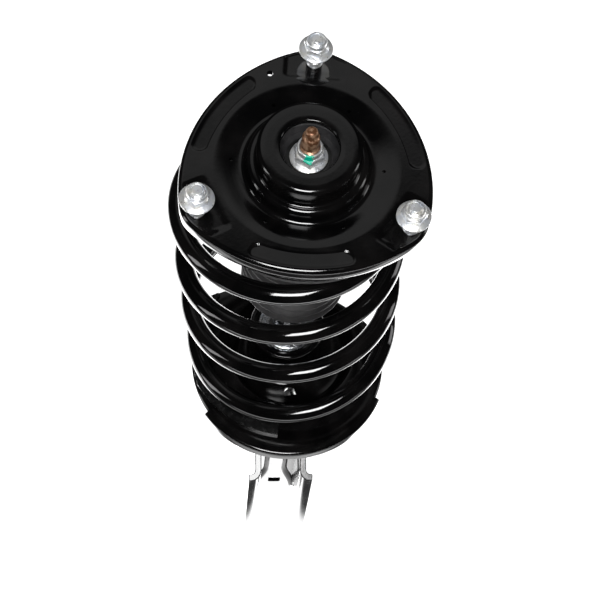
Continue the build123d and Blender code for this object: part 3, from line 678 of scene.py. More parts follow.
    def build(self) -> bpy.types.Object:
        """Draws the shell ring by ring and punches its holes."""
        rings = [self.circle(r, z) for r, z in self.dome]
        rings += [self.between(k / 7, 14.4, 0.0, True) for k in range(8)]
        insets = [14.0, 13.5, 12.93, 12.4, 11.5, 10.5, 9.5, 8.5, 7.5, 6.5, 5.4, 4.6, 4.0, 3.4, 3.1]
        rings += [self.inset(d, 0.0, True) for d in insets]
        for step in range(9):
            turn = step * math.pi / 16
            drop = self.rim_roll * (1 - math.cos(turn))
            rings.append(self.inset(self.rim_roll * (1 - math.sin(turn)), -drop, False))
        foot = -self.rim_depth
        inside = ((0.0, -6.0), (0.0, foot + 0.5), (0.15, foot + 0.15), (0.5, foot), (2.5, foot),
                  (2.9, foot + 0.3), (3.0, -5.2), (3.4, -4.2), (4.4, -3.6), (6.0, -4.3), (13.0, -4.3),
                  (14.2, -3.0))
        rings += [self.inset(distance, z, False) for distance, z in inside]
        rings += [self.between(0.3, 14.4, -3.0, False)]
        rings += [self.circle(r, z) for r, z in (*self.underside, self.dome[0])]
        angles = [360 / self.points_round * i for i in range(self.points_round)]
        plate = ring_stack("mount_plate_pressing", rings, angles)
        punches = []
        for i in range(6):
            punches.append((polar(self.pip_clock + 60 * i, self.pip_circle), self.pip_r))
        punches.append((self.bleed_hole, self.bleed_hole_r))
        cutters = []
        for (x, y), radius in punches:
            pick(plate)
            object_mode()
            bpy.ops.mesh.primitive_cylinder_add(vertices=20, radius=radius * MM, depth=12 * MM,
                                                location=metres(x, y, -2))
            cutters.append(started("punch"))
        combine(plate, join("punches", *cutters), "DIFFERENCE")
        return dress(close_up(plate, 40), Finish.PAINT, Body.MOUNT, "mount_plate")


@dataclass
class FlangeNut:
    """A flange nut with chamfered corners and a round collar, round the strut's axis."""

    bottom: float
    flange_r: float
    flats: float
    hex_top: float
    collar_r: float
    top: float
    bore_r: float
    dish: float = 1.0

    def build(self, name: str) -> bpy.types.Object:
        """Models the nut: turned flange and collar, and a hexagon between them."""
        object_mode()
        depth = self.hex_top - self.bottom
        turned = lathe(name, (
            (self.bore_r, self.bottom), (self.flange_r - 0.5, self.bottom),
            (self.flange_r, self.bottom + 0.35, 0.25), (self.flange_r, self.bottom + 1.1, 0.35),
            (self.flats / 2 + 0.9, self.bottom + 1.1 + self.dish, 0.8),
            (self.flats / 2 - 1.2, self.bottom + 1.6 + self.dish), (self.collar_r, self.hex_top - 0.8),
            (self.collar_r, self.top, 0.9), (self.bore_r + 0.5, self.top, 0.35),
            (self.bore_r, self.top - 0.8)), steps=72)
        bpy.ops.object.select_all(action="DESELECT")
        bpy.ops.mesh.primitive_cylinder_add(
            vertices=6, radius=self.flats / math.sqrt(3) * MM, depth=depth * MM,
            location=metres(0, 0, self.bottom + depth / 2))
        hexagon = started("hexagon")
        corner = self.flats / math.sqrt(3)
        envelope = lathe("envelope", (
            (0, self.bottom - 1), (corner + 0.2, self.bottom - 1), (corner + 0.2, self.hex_top - 1.5),
            (self.flats / 2 - 0.4, self.hex_top), (0, self.hex_top)), steps=72)
        combine(hexagon, envelope, "INTERSECT")
        apply_modifier(hexagon, "BEVEL", width=0.28 * MM, segments=3, limit_method="ANGLE",
                       angle_limit=math.radians(35))
        bore = lathe("bore", ((0, self.bottom - 2), (self.bore_r, self.bottom - 2),
                              (self.bore_r, self.top + 2), (0, self.top + 2)), steps=72)
        combine(hexagon, bore, "DIFFERENCE")
        combine(turned, hexagon, "UNION")
        return close_up(turned, 32)


@dataclass
class MountFasteners:
    """The three studs with their flange nuts, and the rod's nut and washer."""

    circle_r: float = 74.3
    clock: float = 85.0
    thread_r: float = 4.98
    root_r: float = 4.35
    pitch: float = 1.5
    turns: int = 14
    nut: FlangeNut = field(default_factory=lambda: FlangeNut(
        12.8, 10.65, 14.0, 20.0, 6.3, 23.2, 4.97, 0.9))
    rod_nut: FlangeNut = field(default_factory=lambda: FlangeNut(
        8.5, 11.75, 17.0, 17.5, 7.8, 22.0, 6.05, 0.8))
    hex_turns: tuple[float, float, float] = (12.0, -8.0, 21.0)

    def stud(self) -> bpy.types.Object:
        """One stud on the axis: head, knurled neck, thread and dog point."""
        shank = lathe("shank", (
            (0, -5), (6.4, -5, 0.4), (6.4, -3, 0.3), (5.25, -3), (5.25, -0.05),
            (self.root_r + 0.15, 0.9), (self.root_r, 1.4), (self.root_r, 22.6), (3.4, 23.3, 0.2),
            (3.3, 24.6, 0.35), (0, 24.6)), steps=48)
        ridge = thread_ridge(self.root_r, self.thread_r, self.pitch, 1.6, self.turns)
        return close_up(join("stud", shank, ridge), 30)

    def build(self) -> None:
        """Models one stud and one nut, copies them to their places and adds the rod's nut."""
        stud, nut = self.stud(), self.nut.build("stud_nut")
        for i in range(3):
            angle = self.clock + 120 * i
            shift = Matrix.Translation(metres(*polar(angle, self.circle_r), 0))
            one = copy_turned(stud, f"mount_stud_{i + 1}", 40 * i)
            one.data.transform(shift)
            dress(one, Finish.ZINC, Body.MOUNT, "mount_studs")
            one = copy_turned(nut, f"stud_flange_nut_{i + 1}", self.hex_turns[i])
            one.data.transform(shift)
            dress(one, Finish.ZINC, Body.MOUNT, "stud_nuts")
        for item in (stud, nut):
            bpy.data.objects.remove(item)
        dress(self.rod_nut.build("rod_flange_nut"), Finish.MARKED, Body.MOUNT, "rod_nut")


@dataclass
class PistonRod:
    """The piston rod: chromed shank, threaded end, and a browned pilot with a pointed tip."""

    neck_r: float = 6.0
    root_r: float = 5.3
    pitch: float = 1.5
    thread_from: float = 9.5
    turns: int = 9
    profile: tuple[tuple[float, ...], ...] = (
        (0, -324.4), (5.0, -324.4, 0.6), (5.0, -304.0), (6.0, -304.0), (6.0, -283.0), (11.0, -283.0),
        (11.0, -16.0, 0.8), (6.0, -16.0), (6.0, 8.0), (5.3, 9.0), (5.3, 23.4), (5.9, 24.0, 0.3),
        (5.5, 25.4, 0.5), (5.4, 31.8), (5.2, 33.4, 0.8), (3.9, 34.4, 0.8), (3.85, 38.6, 0.9),
        (2.6, 40, 0.9), (0, 40),
    )

    def build(self) -> bpy.types.Object:
        """Turns the rod and cuts its thread."""
        rod = lathe("piston_rod_turned", self.profile, steps=64)
        ridge = thread_ridge(self.root_r, self.neck_r - 0.04, self.pitch, self.thread_from, self.turns)
        whole = close_up(join("piston_rod_turned", rod, ridge), 32)
        return dress(whole, Finish.ROD, Body.MOUNT, "piston_rod")


# ---- boot and spring ---------------------------------------------------------------------
@dataclass
class DustBoot:
    """The ribbed boot round the rod and the bump stop."""

    top: float = -17.8
    flange_r: float = 41.0
    flange_t: float = 2.5
    valley_r: float = 31.5
    rib_r: float = 36.0
    wall: float = 1.6
    pitch: float = 9.2
    ribs: int = 15
    keep: float = 0.72

    def build(self) -> bpy.types.Object:
        """Turns the wavy profile and sets the boot riding on the turntable."""
        start = self.top - self.flange_t
        outer = [(self.flange_r, self.top), (self.flange_r, start), (self.valley_r + 1.5, start)]
        low, rise = self.valley_r, self.rib_r - self.valley_r
        rib = ((0.0, 0.0), (0.10, 0.03), (0.30, 0.50), (0.42, 0.92), (0.46, 1.0), (0.54, 1.0),
               (0.58, 0.92), (0.70, 0.50), (0.90, 0.03))
        for i in range(self.ribs):
            outer += [(low + rise * r, start - 0.4 - self.pitch * (i + z)) for z, r in rib]
        outer.append((low, start - 0.4 - self.pitch * self.ribs))
        inner = [(r - self.wall, z) for r, z in outer[3:]]
        profile = outer + inner[::-1] + [(low - self.wall, self.top)]
        boot = lathe("boot_bellows", profile, steps=112)
        close_up(boot, 28)
        dress(boot, Finish.BOOT, Body.TURNTABLE, "dust_boot")
        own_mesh(boot)
        return boot


@dataclass
class CoilSpring:
    """The right-hand spring: round wire with closed ends, leaning from seat to seat."""

    wire_r: float = 6.6
    coil_r: float = 70.4
    clock: float = 110.0
    turns: tuple[float, ...] = (0.0, 0.25, 0.56, 1.56, 2.56, 3.56, 3.76, 3.86)
    heights: tuple[float, ...] = (-27.4, -27.6, -34.0, -96.0, -163.0, -240.0, -255.4, -256.0)
    tilt: float = 26.0
    top_centre: Point = (-9.8, -1.6)
    bottom_centre: Point = (3.6, 2.3)
    points_per_turn: int = 90
    travel: float = 140.0

    def height(self, turn: float) -> float:
        """Height of the wire's middle a number of turns down from its top end."""
        t, z = self.turns, self.heights
        slopes = [(z[i + 1] - z[i]) / (t[i + 1] - t[i]) for i in range(len(z) - 1)]
        ends = [0.0] + [2 * a * b / (a + b) for a, b in zip(slopes, slopes[1:])] + [0.0]
        k = max(i for i in range(len(t) - 1) if t[i] <= turn)
        span = t[k + 1] - t[k]
        s = (turn - t[k]) / span
        return ((1 + 2 * s) * (1 - s) ** 2 * z[k] + s * (1 - s) ** 2 * span * ends[k]
                + s**2 * (3 - 2 * s) * z[k + 1] + s**2 * (s - 1) * span * ends[k + 1])

    def point(self, turn: float) -> Point3:
        """The wire's middle a number of turns down from its top end."""
        z = self.height(turn)
        lean = (self.heights[0] - z) / (self.heights[0] - self.heights[-1])
        x, y = polar(self.clock - 360 * turn, self.coil_r)
        share = turn / self.turns[-1]
        z -= self.tilt * (4 * share * (1 - share)) ** 2 * (1 + y / self.coil_r) / 2
        return (x + self.top_centre[0] + lean * (self.bottom_centre[0] - self.top_centre[0]),
                y + self.top_centre[1] + lean * (self.bottom_centre[1] - self.top_centre[1]), z)

    def build(self) -> bpy.types.Object:
        """Bends the wire along its path, cuts its ends square and sets it riding on the turntable."""
        object_mode()
        bpy.ops.object.select_all(action="DESELECT")
        bpy.ops.curve.primitive_nurbs_path_add(radius=MM)
        wire = bpy.context.object
        wire.name = "spring_wire"
        spline = wire.data.splines[0]
        spline.type = "POLY"
        count = round(self.turns[-1] * self.points_per_turn) + 1
        spline.points.add(count - len(spline.points))
        for i, point in enumerate(spline.points):
            place = metres(*self.point(self.turns[-1] * i / (count - 1)))
            point.co = (*place, 1.0)
        wire.data.dimensions = "3D"
        wire.data.bevel_depth = self.wire_r * MM
        wire.data.bevel_resolution = 12
        wire.data.use_fill_caps = True
        pick(wire)
        bpy.ops.object.convert(target="MESH")
        spring = close_up(bpy.context.object, 40)
        apply_modifier(spring, "BEVEL", width=0.8 * MM, segments=3, limit_method="ANGLE",
                       angle_limit=math.radians(60))
        dress(close_up(spring, 50), Finish.SPRING, Body.TURNTABLE, "coil_spring")
        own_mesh(spring)
        return spring


# ---- damper and lower seat ---------------------------------------------------------------
@dataclass
class TubeCap:
    """The crimped cap on the damper's tube: a painted shell round a plated seal plate."""

    outer_r: float = 27.0
    tube_r: float = 25.5
    top: float = -236.6
    sheet: float = 1.4
    skirt: float = -251.6
    plate_r: float = 20.5
    hole_r: float = 13.0
    dimple_circle: float = 17.0
    dimple_clock: float = 15.0
    dimple_r: float = 1.1
    dimples: int = 8

    def build(self) -> None:
        """Turns the shell and the seal plate, and presses dimples into the plate."""
        shell = lathe("tube_cap_shell", (
            (self.tube_r, self.skirt), (self.outer_r, self.skirt, 0.3), (self.outer_r, self.top, 1.6),
            (self.plate_r + 1.6, self.top, 0.7), (self.plate_r + 0.4, self.top - 0.8),
            (self.plate_r + 0.2, self.top - self.sheet), (self.tube_r, self.top - self.sheet)),
            steps=144)
        dress(shell, Finish.PAINT, Body.STRUT, "tube_cap")
        plate = lathe("tube_cap_seal_plate", (
            (self.hole_r, self.top - self.sheet), (self.plate_r + 0.2, self.top - self.sheet),
            (self.plate_r + 0.2, self.top - 0.9, 0.2), (self.plate_r - 1.4, self.top - 0.75, 0.3),
            (self.plate_r - 2.2, self.top - 0.35, 0.3), (self.hole_r + 2.4, self.top - 0.35, 0.3),
            (self.hole_r + 1.8, self.top, 0.2), (self.hole_r, self.top, 0.3)), steps=120)
        dimples = []
        for i in range(self.dimples):
            place = polar(360 / self.dimples * i + self.dimple_clock, self.dimple_circle)
            object_mode()
            bpy.ops.object.select_all(action="DESELECT")
            bpy.ops.mesh.primitive_uv_sphere_add(
                segments=20, ring_count=12, radius=self.dimple_r * MM,
                location=metres(*place, self.top - 0.1))
            dimples.append(started("dimple"))
        combine(plate, join("dimples", *dimples), "DIFFERENCE")
        dress(close_up(plate), Finish.SEAL_PLATE, Body.STRUT, "tube_cap")


@dataclass
class LowerSeat:
    """The spring's lower seat: shelf, round well with drain holes, skirt, guard and hub."""

    top: float = -266.0
    thickness: float = 3.0
    skirt: float = 9.0
    spring_centre: Point = (3.6, 2.3)
    spring_side_r: float = 70.0
    back_centre: Point = (-11.7, -51.9)
    back_r: float = 99.2
    guard_centre: Point = (1.3, -16.4)
    guard_side_r: float = 71.0
    guard_r: float = 74.0
    guard_from: float = -146.0
    guard_to: float = -24.6
    well_centre: Point = (4.4, -4.7)
    well_r: float = 46.5
    floor_r: float = 41.0
    well_depth: float = 18.0
    tube_r: float = 25.5
    hub_wall: float = 3.0
    hub_length: float = 16.0
    drain_r: float = 4.5
    drain_reach: float = 35.0
    drain_flat: float = 1.6
    edge_round: float = 2.2
    lip_round: float = 1.8
    drain_clock: float = -84.0

    def reach(self, angle: float, inset: float) -> Point3:
        """The outline's point at an angle round the well, a distance inside the edge."""
        along = Vector(polar(angle, 1.0))
        start = Vector(self.well_centre)
        best = 0.0
        for centre, radius, guard in ((self.spring_centre, self.spring_side_r, False),
                                      (self.guard_centre, self.guard_side_r, False),
                                      (self.guard_centre, self.guard_r, True)):
            to = start - Vector(centre)
            b = along.dot(to)
            distance = -b + math.sqrt(b * b - to.length_squared + (radius - inset) ** 2)
            at = start + along * distance - Vector(centre)
            facing = math.degrees(math.atan2(at.y, at.x))
            if guard and not self.guard_from < facing < self.guard_to:
                continue
            best = max(best, distance)
        to = start - Vector(self.back_centre)
        b = along.dot(to)
        best = min(best, -b + math.sqrt(b * b - to.length_squared + (self.back_r - inset) ** 2))
        point = start + along * best
        return point.x, point.y, 0.0

    def inset(self, distance: float, z: float) -> Ring:
        """The seat's outline a distance inside its edge, at one height."""
        return lambda angle: (*self.reach(angle, distance)[:2], z)

    def shelf(self, share: float, z: float) -> Ring:
        """An outline part of the way from the well's lip to the seat's rounded edge."""
        def ring(angle: float) -> Point3:
            a = self.round_well(self.well_r + 1.4, z)(angle)
            b = self.inset(self.edge_round, z)(angle)
            return a[0] + (b[0] - a[0]) * share, a[1] + (b[1] - a[1]) * share, z
        return ring

    def below_shelf(self, angle: float) -> Point3:
        """The point under the shelf where it meets the well's wall or, at the back, the skirt."""
        a = self.round_well(self.well_r + 2.4, self.top - self.thickness)(angle)
        b = self.inset(2.75, self.top - self.thickness)(angle)
        middle = Vector((*self.well_centre, 0))
        return tuple(min(Vector(a), Vector(b), key=lambda v: (v.xy - middle.xy).length))

    def round_well(self, radius: float, z: float) -> Ring:
        """A circle about the well's middle, at one height."""
        def ring(angle: float) -> Point3:
            x, y = polar(angle, radius)
            return x + self.well_centre[0], y + self.well_centre[1], z
        return ring

    def round_tube(self, radius: float, z: float) -> Ring:
        """A circle about the strut's axis, with its points lined up with the well's."""
        def ring(angle: float) -> Point3:
            along, start = Vector(polar(angle, 1.0)), Vector(self.well_centre)
            b = along.dot(start)
            at = start + along * (-b + math.sqrt(b * b - start.length_squared + radius**2))
            return at.x, at.y, z
        return ring

    def build(self) -> bpy.types.Object:
        """Draws the pressing ring by ring, adds the hub's collar and cuts the drain holes."""
        floor, t = self.top - self.well_depth, self.thickness
        hub_r, low = self.tube_r + self.hub_wall, floor - self.hub_length
        near_tube = ((0.0, low), (0.0, floor + 1.2), (1.0, floor + 1.2), (1.9, floor + 0.3),
                     (2.9, floor))
        rings = [self.round_tube(self.tube_r + out, z) for out, z in near_tube]
        near_wall = ((-3.0, floor), (-1.2, floor + 0.35), (0.1, floor + 1.4))
        rings += [self.round_well(self.floor_r + out, z) for out, z in near_wall]
        rings += [self.round_well(self.well_r - 1.0, self.top - 3.4)]
        for k in range(6):
            a = math.pi / 2 * k / 5
            lip_r = self.well_r + 1.4 - self.lip_round * math.cos(a)
            rings.append(self.round_well(lip_r, self.top - self.lip_round * (1 - math.sin(a))))
        rings += [self.shelf(0.35, self.top), self.shelf(0.7, self.top)]
        r = self.edge_round
        for k in range(7):
            a = math.pi / 2 * k / 6
            rings.append(self.inset(r * (1 - math.sin(a)), self.top - r * (1 - math.cos(a))))
        bottom = self.top - self.skirt
        rings += [self.inset(0.0, bottom + 0.4), self.inset(0.4, bottom), self.inset(2.6, bottom),
                  self.inset(2.7, bottom + 0.4), self.inset(2.7, self.top - t - 0.3)]
        rings += [self.below_shelf, self.round_well(self.floor_r + 2.1, floor - t),
                  self.round_tube(hub_r + 0.8, floor - t), self.round_tube(hub_r, floor - t - 0.8),
                  self.round_tube(hub_r, low), self.round_tube(self.tube_r, low)]
        angles = [0.5 * i for i in range(720)]
        for facing in (self.guard_from, self.guard_to):
            end = Vector(polar(facing, self.guard_r)) + Vector(self.guard_centre)
            end -= Vector(self.well_centre)
            angle = math.degrees(math.atan2(end.y, end.x)) % 360
            angles += [angle - 0.12, angle + 0.12]
        seat = ring_stack("lower_seat_pressing", rings, sorted(angles))
        cutters = []
        for i in range(3):
            angle = self.drain_clock + 120 * i
            x, y = polar(angle, self.drain_reach)
            object_mode()
            bpy.ops.object.select_all(action="DESELECT")
            bpy.ops.mesh.primitive_cylinder_add(vertices=40, radius=self.drain_r * MM, depth=12 * MM,
                                                location=metres(x, y, floor))
            cutter = started("drain")
            edit_all(cutter)
            bpy.ops.mesh.bisect(plane_co=metres(*polar(angle, self.drain_reach + self.drain_flat), 0),
                                plane_no=(*polar(angle, 1.0), 0.0), use_fill=True, clear_outer=True)
            object_mode()
            cutters.append(cutter)
        combine(seat, join("drains", *cutters), "DIFFERENCE")
        return dress(close_up(seat, 40), Finish.PAINT, Body.STRUT, "lower_spring_seat")


@dataclass
class LowerPad:
    """The rubber pad under the spring's lower end, trimmed to a little wider than the wire."""

    centre: Point = (3.6, 2.3)
    outer_r: float = 79.0
    top: float = -262.6

    def build(self, node: bpy.types.Object) -> None:
        """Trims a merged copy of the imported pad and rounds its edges."""
        pad = bpy.data.objects.new("lower_pad", node.data.copy())
        bpy.context.scene.collection.objects.link(pad)
        close_up(pad)
        object_mode()
        bpy.ops.object.select_all(action="DESELECT")
        bpy.ops.mesh.primitive_cylinder_add(vertices=180, radius=self.outer_r * MM, depth=20 * MM,
                                            location=metres(*self.centre, self.top))
        combine(pad, started("pad_trim"), "INTERSECT")
        apply_modifier(pad, "BEVEL", width=0.9 * MM, segments=4, limit_method="ANGLE",
                       angle_limit=math.radians(50))
        dress(close_up(pad, 40), Finish.PAD, Body.STRUT, "lower_spring_isolator")


# ---- knuckle bracket ---------------------------------------------------------------------
@dataclass
class KnuckleBracket:
    """The clamp round the tube with two lipped ears, and the plate between them."""

    sheet: float = 5.0
    tube_r: float = 25.5
    ear_gap: float = 30.0
    ear_reach: float = 75.0
    lip: float = 5.0
    bend_r: float = 5.5
    top: float = -345.0
    bottom: float = -490.0
    front_drop: float = 22.0
    corner: float = 14.0
    bottom_rise: float = 6.0
    bolt_r: float = 7.25
    bolt_y: float = -55.0
    bolt_heights: tuple[float, float] = (-382.0, -452.0)
    plate_y: float = -33.0
    plate_t: float = 3.4
    plate_bulge: float = 2.6
    window: tuple[float, float, float, float] = (-5.0, 5.0, -470.0, -424.0)

    def strip(self) -> bpy.types.Object:
        """Bends the strip round the tube in plan, then pulls it up to its full height."""
        mid = self.tube_r + self.sheet / 2
        x = (self.ear_gap + self.sheet) / 2
        near = -math.sqrt(mid**2 - x**2)
        start = math.degrees(math.atan2(near, x))
        front = -self.ear_reach + self.sheet / 2
        arc = [(*polar(start + (180 - 2 * start) * i / 40, mid), self.bottom) for i in range(41)]
        tip = x + self.sheet / 2 + self.lip
        path = [(tip, front, self.bottom), (x, front, self.bottom), *arc, (-x, front, self.bottom),
                (-tip, front, self.bottom)]
        strip = trace("knuckle_bracket_strip", path)
        bends = [(metres(side * x, front, self.bottom), self.bend_r) for side in (1, -1)]
        round_corners(strip, bends)
        rise = metres(0, 0, self.top - self.bottom)
        bpy.ops.mesh.extrude_edges_move(TRANSFORM_OT_translate={"value": rise})
        close_up(strip)
        apply_modifier(strip, "SOLIDIFY", thickness=self.sheet * MM, offset=0.0, use_even_offset=True)
        return close_up(strip)

    def trim(self, strip: bpy.types.Object) -> None:
        """Slopes the top of the ears and clips their lower corners."""
        cuts = (
            ((0, -self.tube_r, self.top), (0, -self.front_drop, self.ear_reach - self.tube_r)),
            ((0, -self.ear_reach, self.bottom + self.bottom_rise),
             (0, -self.bottom_rise, -self.corner)),
        )
        for place, normal in cuts:
            edit_all(strip)
            bpy.ops.mesh.bisect(plane_co=metres(*place), plane_no=Vector(normal).normalized(),
                                use_fill=True, clear_outer=True)
            object_mode()

    def bolt_holes(self, strip: bpy.types.Object) -> None:
        """Drills the two bolt holes through both ears."""
        tools = []
        for z in self.bolt_heights:
            object_mode()
            bpy.ops.object.select_all(action="DESELECT")
            bpy.ops.mesh.primitive_cylinder_add(
                vertices=48, radius=self.bolt_r * MM, depth=2 * self.ear_gap * MM,
                location=metres(0, self.bolt_y, z), rotation=(0, math.pi / 2, 0))
            tools.append(started("drill"))
        combine(strip, join("drills", *tools), "DIFFERENCE")

    def front_plate(self) -> bpy.types.Object:
        """Presses the plate between the ears: a bulge with sloping cheeks and a window."""
        object_mode()
        bpy.ops.object.select_all(action="DESELECT")
        low, high = self.bottom + self.sheet, self.top - self.sheet
        bpy.ops.mesh.primitive_grid_add(x_subdivisions=60, y_subdivisions=90, size=1.0)
        plate = started("bracket_front_pressing")
        half = self.ear_gap / 2
        for vertex in plate.data.vertices:
            x = vertex.co.x * 2 * half
            z = low + (vertex.co.y + 0.5) * (high - low)
            panel = 13.5 - 7.5 * blend_step(z, low + 5, low + 48)
            edge = abs(x) - panel
            bulge = self.plate_bulge * (1 - blend_step(edge, -1.4, 2.6)) + 1.0 * (1 - (x / half) ** 2)
            vertex.co = metres(x, self.plate_y - bulge + 0.4, z)
        apply_modifier(plate, "SOLIDIFY", thickness=self.plate_t * MM, offset=1.0)
        left, right, down, up = self.window
        bpy.ops.object.select_all(action="DESELECT")
        middle = metres((left + right) / 2, self.plate_y, (down + up) / 2)
        bpy.ops.mesh.primitive_cube_add(size=1.0, location=middle,
                                        scale=metres(right - left, 30, up - down))
        cutter = started("window")
        apply_modifier(cutter, "BEVEL", width=1.6 * MM, segments=4)
        combine(plate, cutter, "DIFFERENCE")
        close_up(plate, 40)
        return dress(plate, Finish.BRACKET, Body.STRUT, "bracket_front_plate")

    def build(self) -> None:
        """Models the bracket and its front plate."""
        strip = self.strip()
        self.trim(strip)
        self.bolt_holes(strip)
        close_up(strip)
        apply_modifier(strip, "BEVEL", width=0.7 * MM, segments=3, limit_method="ANGLE",
                       angle_limit=math.radians(40))
        close_up(strip, 40)
        apply_modifier(strip, "WEIGHTED_NORMAL", keep_sharp=True)
        dress(strip, Finish.BRACKET, Body.STRUT, "knuckle_bracket")
        self.front_plate()


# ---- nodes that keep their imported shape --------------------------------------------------
@dataclass(frozen=True)
class PlainNodes:
    """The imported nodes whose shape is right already, sorted by finish."""

    sorted_nodes: tuple[tuple[Finish, tuple[str, ...]], ...] = (
        (Finish.PAINT, ("mount_pan", "upper_spring_seat", "strut_tube", "tube_base")),
        (Finish.RUBBER, ("insulator_rubber", "upper_spring_isolator", "rod_seal")),
        (Finish.BLACKED, ("rod_washer",)),
        (Finish.STEEL, ("insulator_core", "bump_stop_cup", "rebound_stop", "piston_valve_discs",
                        "piston_nut", "bearing_upper_race", "bearing_lower_race", "bearing_balls",
                        "inner_cylinder")),
        (Finish.FOAM, ("bump_stop",)),
        (Finish.IRON, ("piston", "rod_guide", "base_valve")),
        (Finish.POLYMER, ("piston_band", "bearing_cage")),
    )

    def dress(self, nodes: dict[str, bpy.types.Object]) -> None:
        """Assigns each node's finish."""
        for finish, names in self.sorted_nodes:
            for name in names:
                nodes[name].data.materials.clear()
                nodes[name].data.materials.append(finish.material())
                log.info("%s keeps its shape, in %s", name, finish.name)


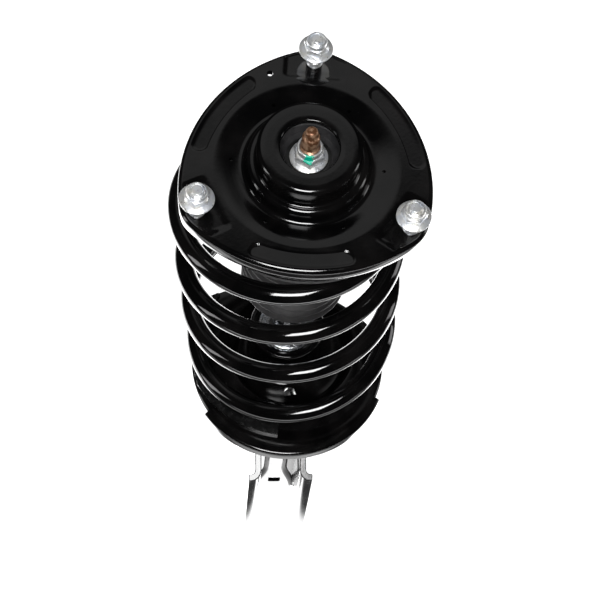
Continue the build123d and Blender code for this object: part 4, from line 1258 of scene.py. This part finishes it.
# ---- studio ------------------------------------------------------------------------------
@dataclass
class Studio:
    """Pale floor, soft lights and the camera."""

    camera_at: Point3 = (-74.06, -522.6, 922.5)
    forward: Point3 = (0.0624, 0.4178, -0.9064)
    right: Point3 = (0.99805, -0.02621, 0.0567)
    lens: float = 104.7
    shift: Point = (0.009, 0.0165)
    floor_z: float = -505.0
    front_box: tuple[float, float, float] = (0.70, 0.85, 26.0)
    back_glow: float = 0.45
    gloom: float = 0.02
    bands: tuple[Point, ...] = ((-0.66, 0.0), (-0.63, 5.5), (-0.52, 5.5), (-0.49, 0.9), (-0.34, 0.05),
                                (-0.25, 0.1), (-0.19, 2.2), (-0.12, 0.15), (-0.095, 0.2), (-0.085, 6.0),
                                (0.15, 5.0), (0.9, 1.0))

    def camera(self) -> None:
        """Sets the camera up."""
        data = bpy.data.cameras.new("camera")
        data.lens, data.sensor_width = self.lens, 36.0
        data.shift_x, data.shift_y = self.shift
        data.clip_start, data.clip_end = 0.05, 30.0
        camera = bpy.data.objects.new("camera", data)
        bpy.context.scene.collection.objects.link(camera)
        back = -Vector(self.forward).normalized()
        side = Vector(self.right)
        side = (side - back * side.dot(back)).normalized()
        up = back.cross(side)
        turn = Matrix((side, up, back)).transposed().to_4x4()
        camera.matrix_world = Matrix.Translation(metres(*self.camera_at)) @ turn
        bpy.context.scene.camera = camera

    def soft_box(self, name: str, place: Point3, aim: Point3, size: Point, radiance: float) -> None:
        """Hangs a rectangular light, given its place and aim in metres and its brightness."""
        data = bpy.data.lights.new(name, "AREA")
        data.shape = "RECTANGLE"
        data.size, data.size_y = size
        data.energy = radiance * math.pi * size[0] * size[1]
        light = bpy.data.objects.new(name, data)
        bpy.context.scene.collection.objects.link(light)
        light.location = place
        light.rotation_euler = (Vector(aim) - Vector(place)).to_track_quat("-Z", "Y").to_euler()
        light.visible_camera = False

    def card(self, name: str, corners: tuple[Point, Point], z: float,
             bands: Sequence[Point]) -> None:
        """Lays a lit card that only shows in reflections.

        Args:
            name: the card's name.
            corners: two opposite corners in metres.
            z: its height in metres.
            bands: pairs of a y in metres and the card's brightness there, from front to back.
        """
        object_mode()
        bpy.ops.object.select_all(action="DESELECT")
        (x0, y0), (x1, y1) = corners
        bpy.ops.mesh.primitive_plane_add(size=1.0, location=((x0 + x1) / 2, (y0 + y1) / 2, z))
        bpy.context.object.scale = (x1 - x0, y1 - y0, 1.0)
        card = started(name)
        material = bpy.data.materials.new(name)
        material.use_nodes = True
        tree = material.node_tree
        tree.nodes.clear()
        glow = tree.nodes.new("ShaderNodeEmission")
        place = tree.nodes.new("ShaderNodeTexCoord")
        split = tree.nodes.new("ShaderNodeSeparateXYZ")
        tree.links.new(place.outputs["Object"], split.inputs["Vector"])
        level = tree.nodes.new("ShaderNodeMapRange")
        level.inputs["From Min"].default_value, level.inputs["From Max"].default_value = y0, y1
        tree.links.new(split.outputs["Y"], level.inputs["Value"])
        ramp = tree.nodes.new("ShaderNodeValToRGB")
        stops = ramp.color_ramp.elements
        while len(stops) < len(bands):
            stops.new(0.5)
        brightest = max(b for _, b in bands)
        for stop, (y, b) in zip(stops, bands):
            stop.position = (y - y0) / (y1 - y0)
            stop.color = (b / brightest, b / brightest, b / brightest, 1.0)
        tree.links.new(level.outputs["Result"], ramp.inputs["Fac"])
        tree.links.new(ramp.outputs["Color"], glow.inputs["Color"])
        glow.inputs["Strength"].default_value = brightest
        out = tree.nodes.new("ShaderNodeOutputMaterial")
        tree.links.new(glow.outputs[0], out.inputs["Surface"])
        card.data.materials.append(material)
        card.visible_camera = card.visible_diffuse = card.visible_shadow = False

    def floor(self) -> None:
        """Lays the pale floor, which is lit a little from within so that it stays even."""
        object_mode()
        bpy.ops.object.select_all(action="DESELECT")
        bpy.ops.mesh.primitive_plane_add(size=16.0, location=(0, 0, self.floor_z * MM))
        floor = started("floor")
        shader = Shader("floor_white")
        shader.set(Roughness=0.9, Emission_Color=(1.0, 1.0, 1.0, 1.0), Emission_Strength=0.72)
        shader.feed("Base Color", shader.mix(shader.noise(3.0), (0.78, 0.78, 0.78), (0.82, 0.82, 0.82)))
        floor.data.materials.append(shader.material)
        floor.visible_glossy = False

    def world(self) -> None:
        """A pale wall to look at, and a dark room with one dim screen to reflect."""
        world = bpy.data.worlds.new("room")
        bpy.context.scene.world = world
        world.use_nodes = True
        tree = world.node_tree
        tree.nodes.clear()
        place = tree.nodes.new("ShaderNodeTexCoord")
        toward = tree.nodes.new("ShaderNodeVectorMath")
        toward.operation = "DOT_PRODUCT"
        tree.links.new(place.outputs["Generated"], toward.inputs[0])
        toward.inputs[1].default_value = Vector((-0.05, 0.60, 0.80)).normalized()
        above = tree.nodes.new("ShaderNodeVectorMath")
        above.operation = "DOT_PRODUCT"
        tree.links.new(place.outputs["Generated"], above.inputs[0])
        above.inputs[1].default_value = (-0.25, 0.85, -0.46)
        shares = []
        for node, low, high in ((toward, 0.90, 0.985), (above, -0.052, 0.03)):
            share = tree.nodes.new("ShaderNodeMapRange")
            share.interpolation_type = "SMOOTHSTEP"
            share.inputs["From Min"].default_value, share.inputs["From Max"].default_value = low, high
            tree.links.new(node.outputs["Value"], share.inputs["Value"])
            shares.append(share.outputs["Result"])
        screen = tree.nodes.new("ShaderNodeMath")
        screen.operation = "MULTIPLY"
        tree.links.new(shares[0], screen.inputs[0])
        tree.links.new(shares[1], screen.inputs[1])
        level = tree.nodes.new("ShaderNodeMath")
        level.operation = "MULTIPLY_ADD"
        tree.links.new(screen.outputs["Value"], level.inputs[0])
        level.inputs[1].default_value, level.inputs[2].default_value = self.back_glow, self.gloom
        path = tree.nodes.new("ShaderNodeLightPath")
        mix = tree.nodes.new("ShaderNodeMix")
        mix.data_type = "RGBA"
        tree.links.new(path.outputs["Is Camera Ray"], mix.inputs["Factor"])
        tree.links.new(level.outputs["Value"], mix.inputs[6])
        mix.inputs[7].default_value = (0.93, 0.93, 0.93, 1.0)
        glow = tree.nodes.new("ShaderNodeBackground")
        tree.links.new(mix.outputs[2], glow.inputs["Color"])
        out = tree.nodes.new("ShaderNodeOutputWorld")
        tree.links.new(glow.outputs[0], out.inputs["Surface"])

    def build(self) -> None:
        """Builds the whole studio."""
        bpy.context.scene.view_settings.view_transform = "Standard"
        self.camera()
        self.floor()
        self.world()
        self.card("floor_glow", ((-0.75, -0.66), (0.75, 0.9)), self.floor_z * MM + 0.0015, self.bands)
        width, height, radiance = self.front_box
        middle = Vector((0, -0.02, -0.2))
        toward = Vector((-0.075, -0.43, 0.90)).normalized()
        place = middle + toward * 2.1
        self.soft_box("front_box", tuple(place), tuple(middle), (width, height), radiance)
        self.soft_box("left_box", (-1.7, -0.25, 0.25), (0, 0, -0.2), (0.35, 1.1), 5.0)
        self.soft_box("right_box", (1.8, 0.1, 0.35), (0, 0, -0.2), (0.35, 1.1), 3.5)


def main() -> None:
    """Builds the visual model on the frame, piece by piece."""
    logging.basicConfig(level=logging.INFO, format="%(name)s: %(message)s")
    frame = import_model()
    bpy.context.scene.cursor.location = (0, 0, 0)
    PlainNodes().dress(frame["nodes"])
    MountPlate().build()
    MountFasteners().build()
    PistonRod().build()
    DustBoot().build()
    CoilSpring().build()
    TubeCap().build()
    LowerSeat().build()
    LowerPad().build(frame["nodes"]["lower_spring_isolator"])
    KnuckleBracket().build()
    Studio().build()
    object_mode()


if __name__ == "__main__":
    main()
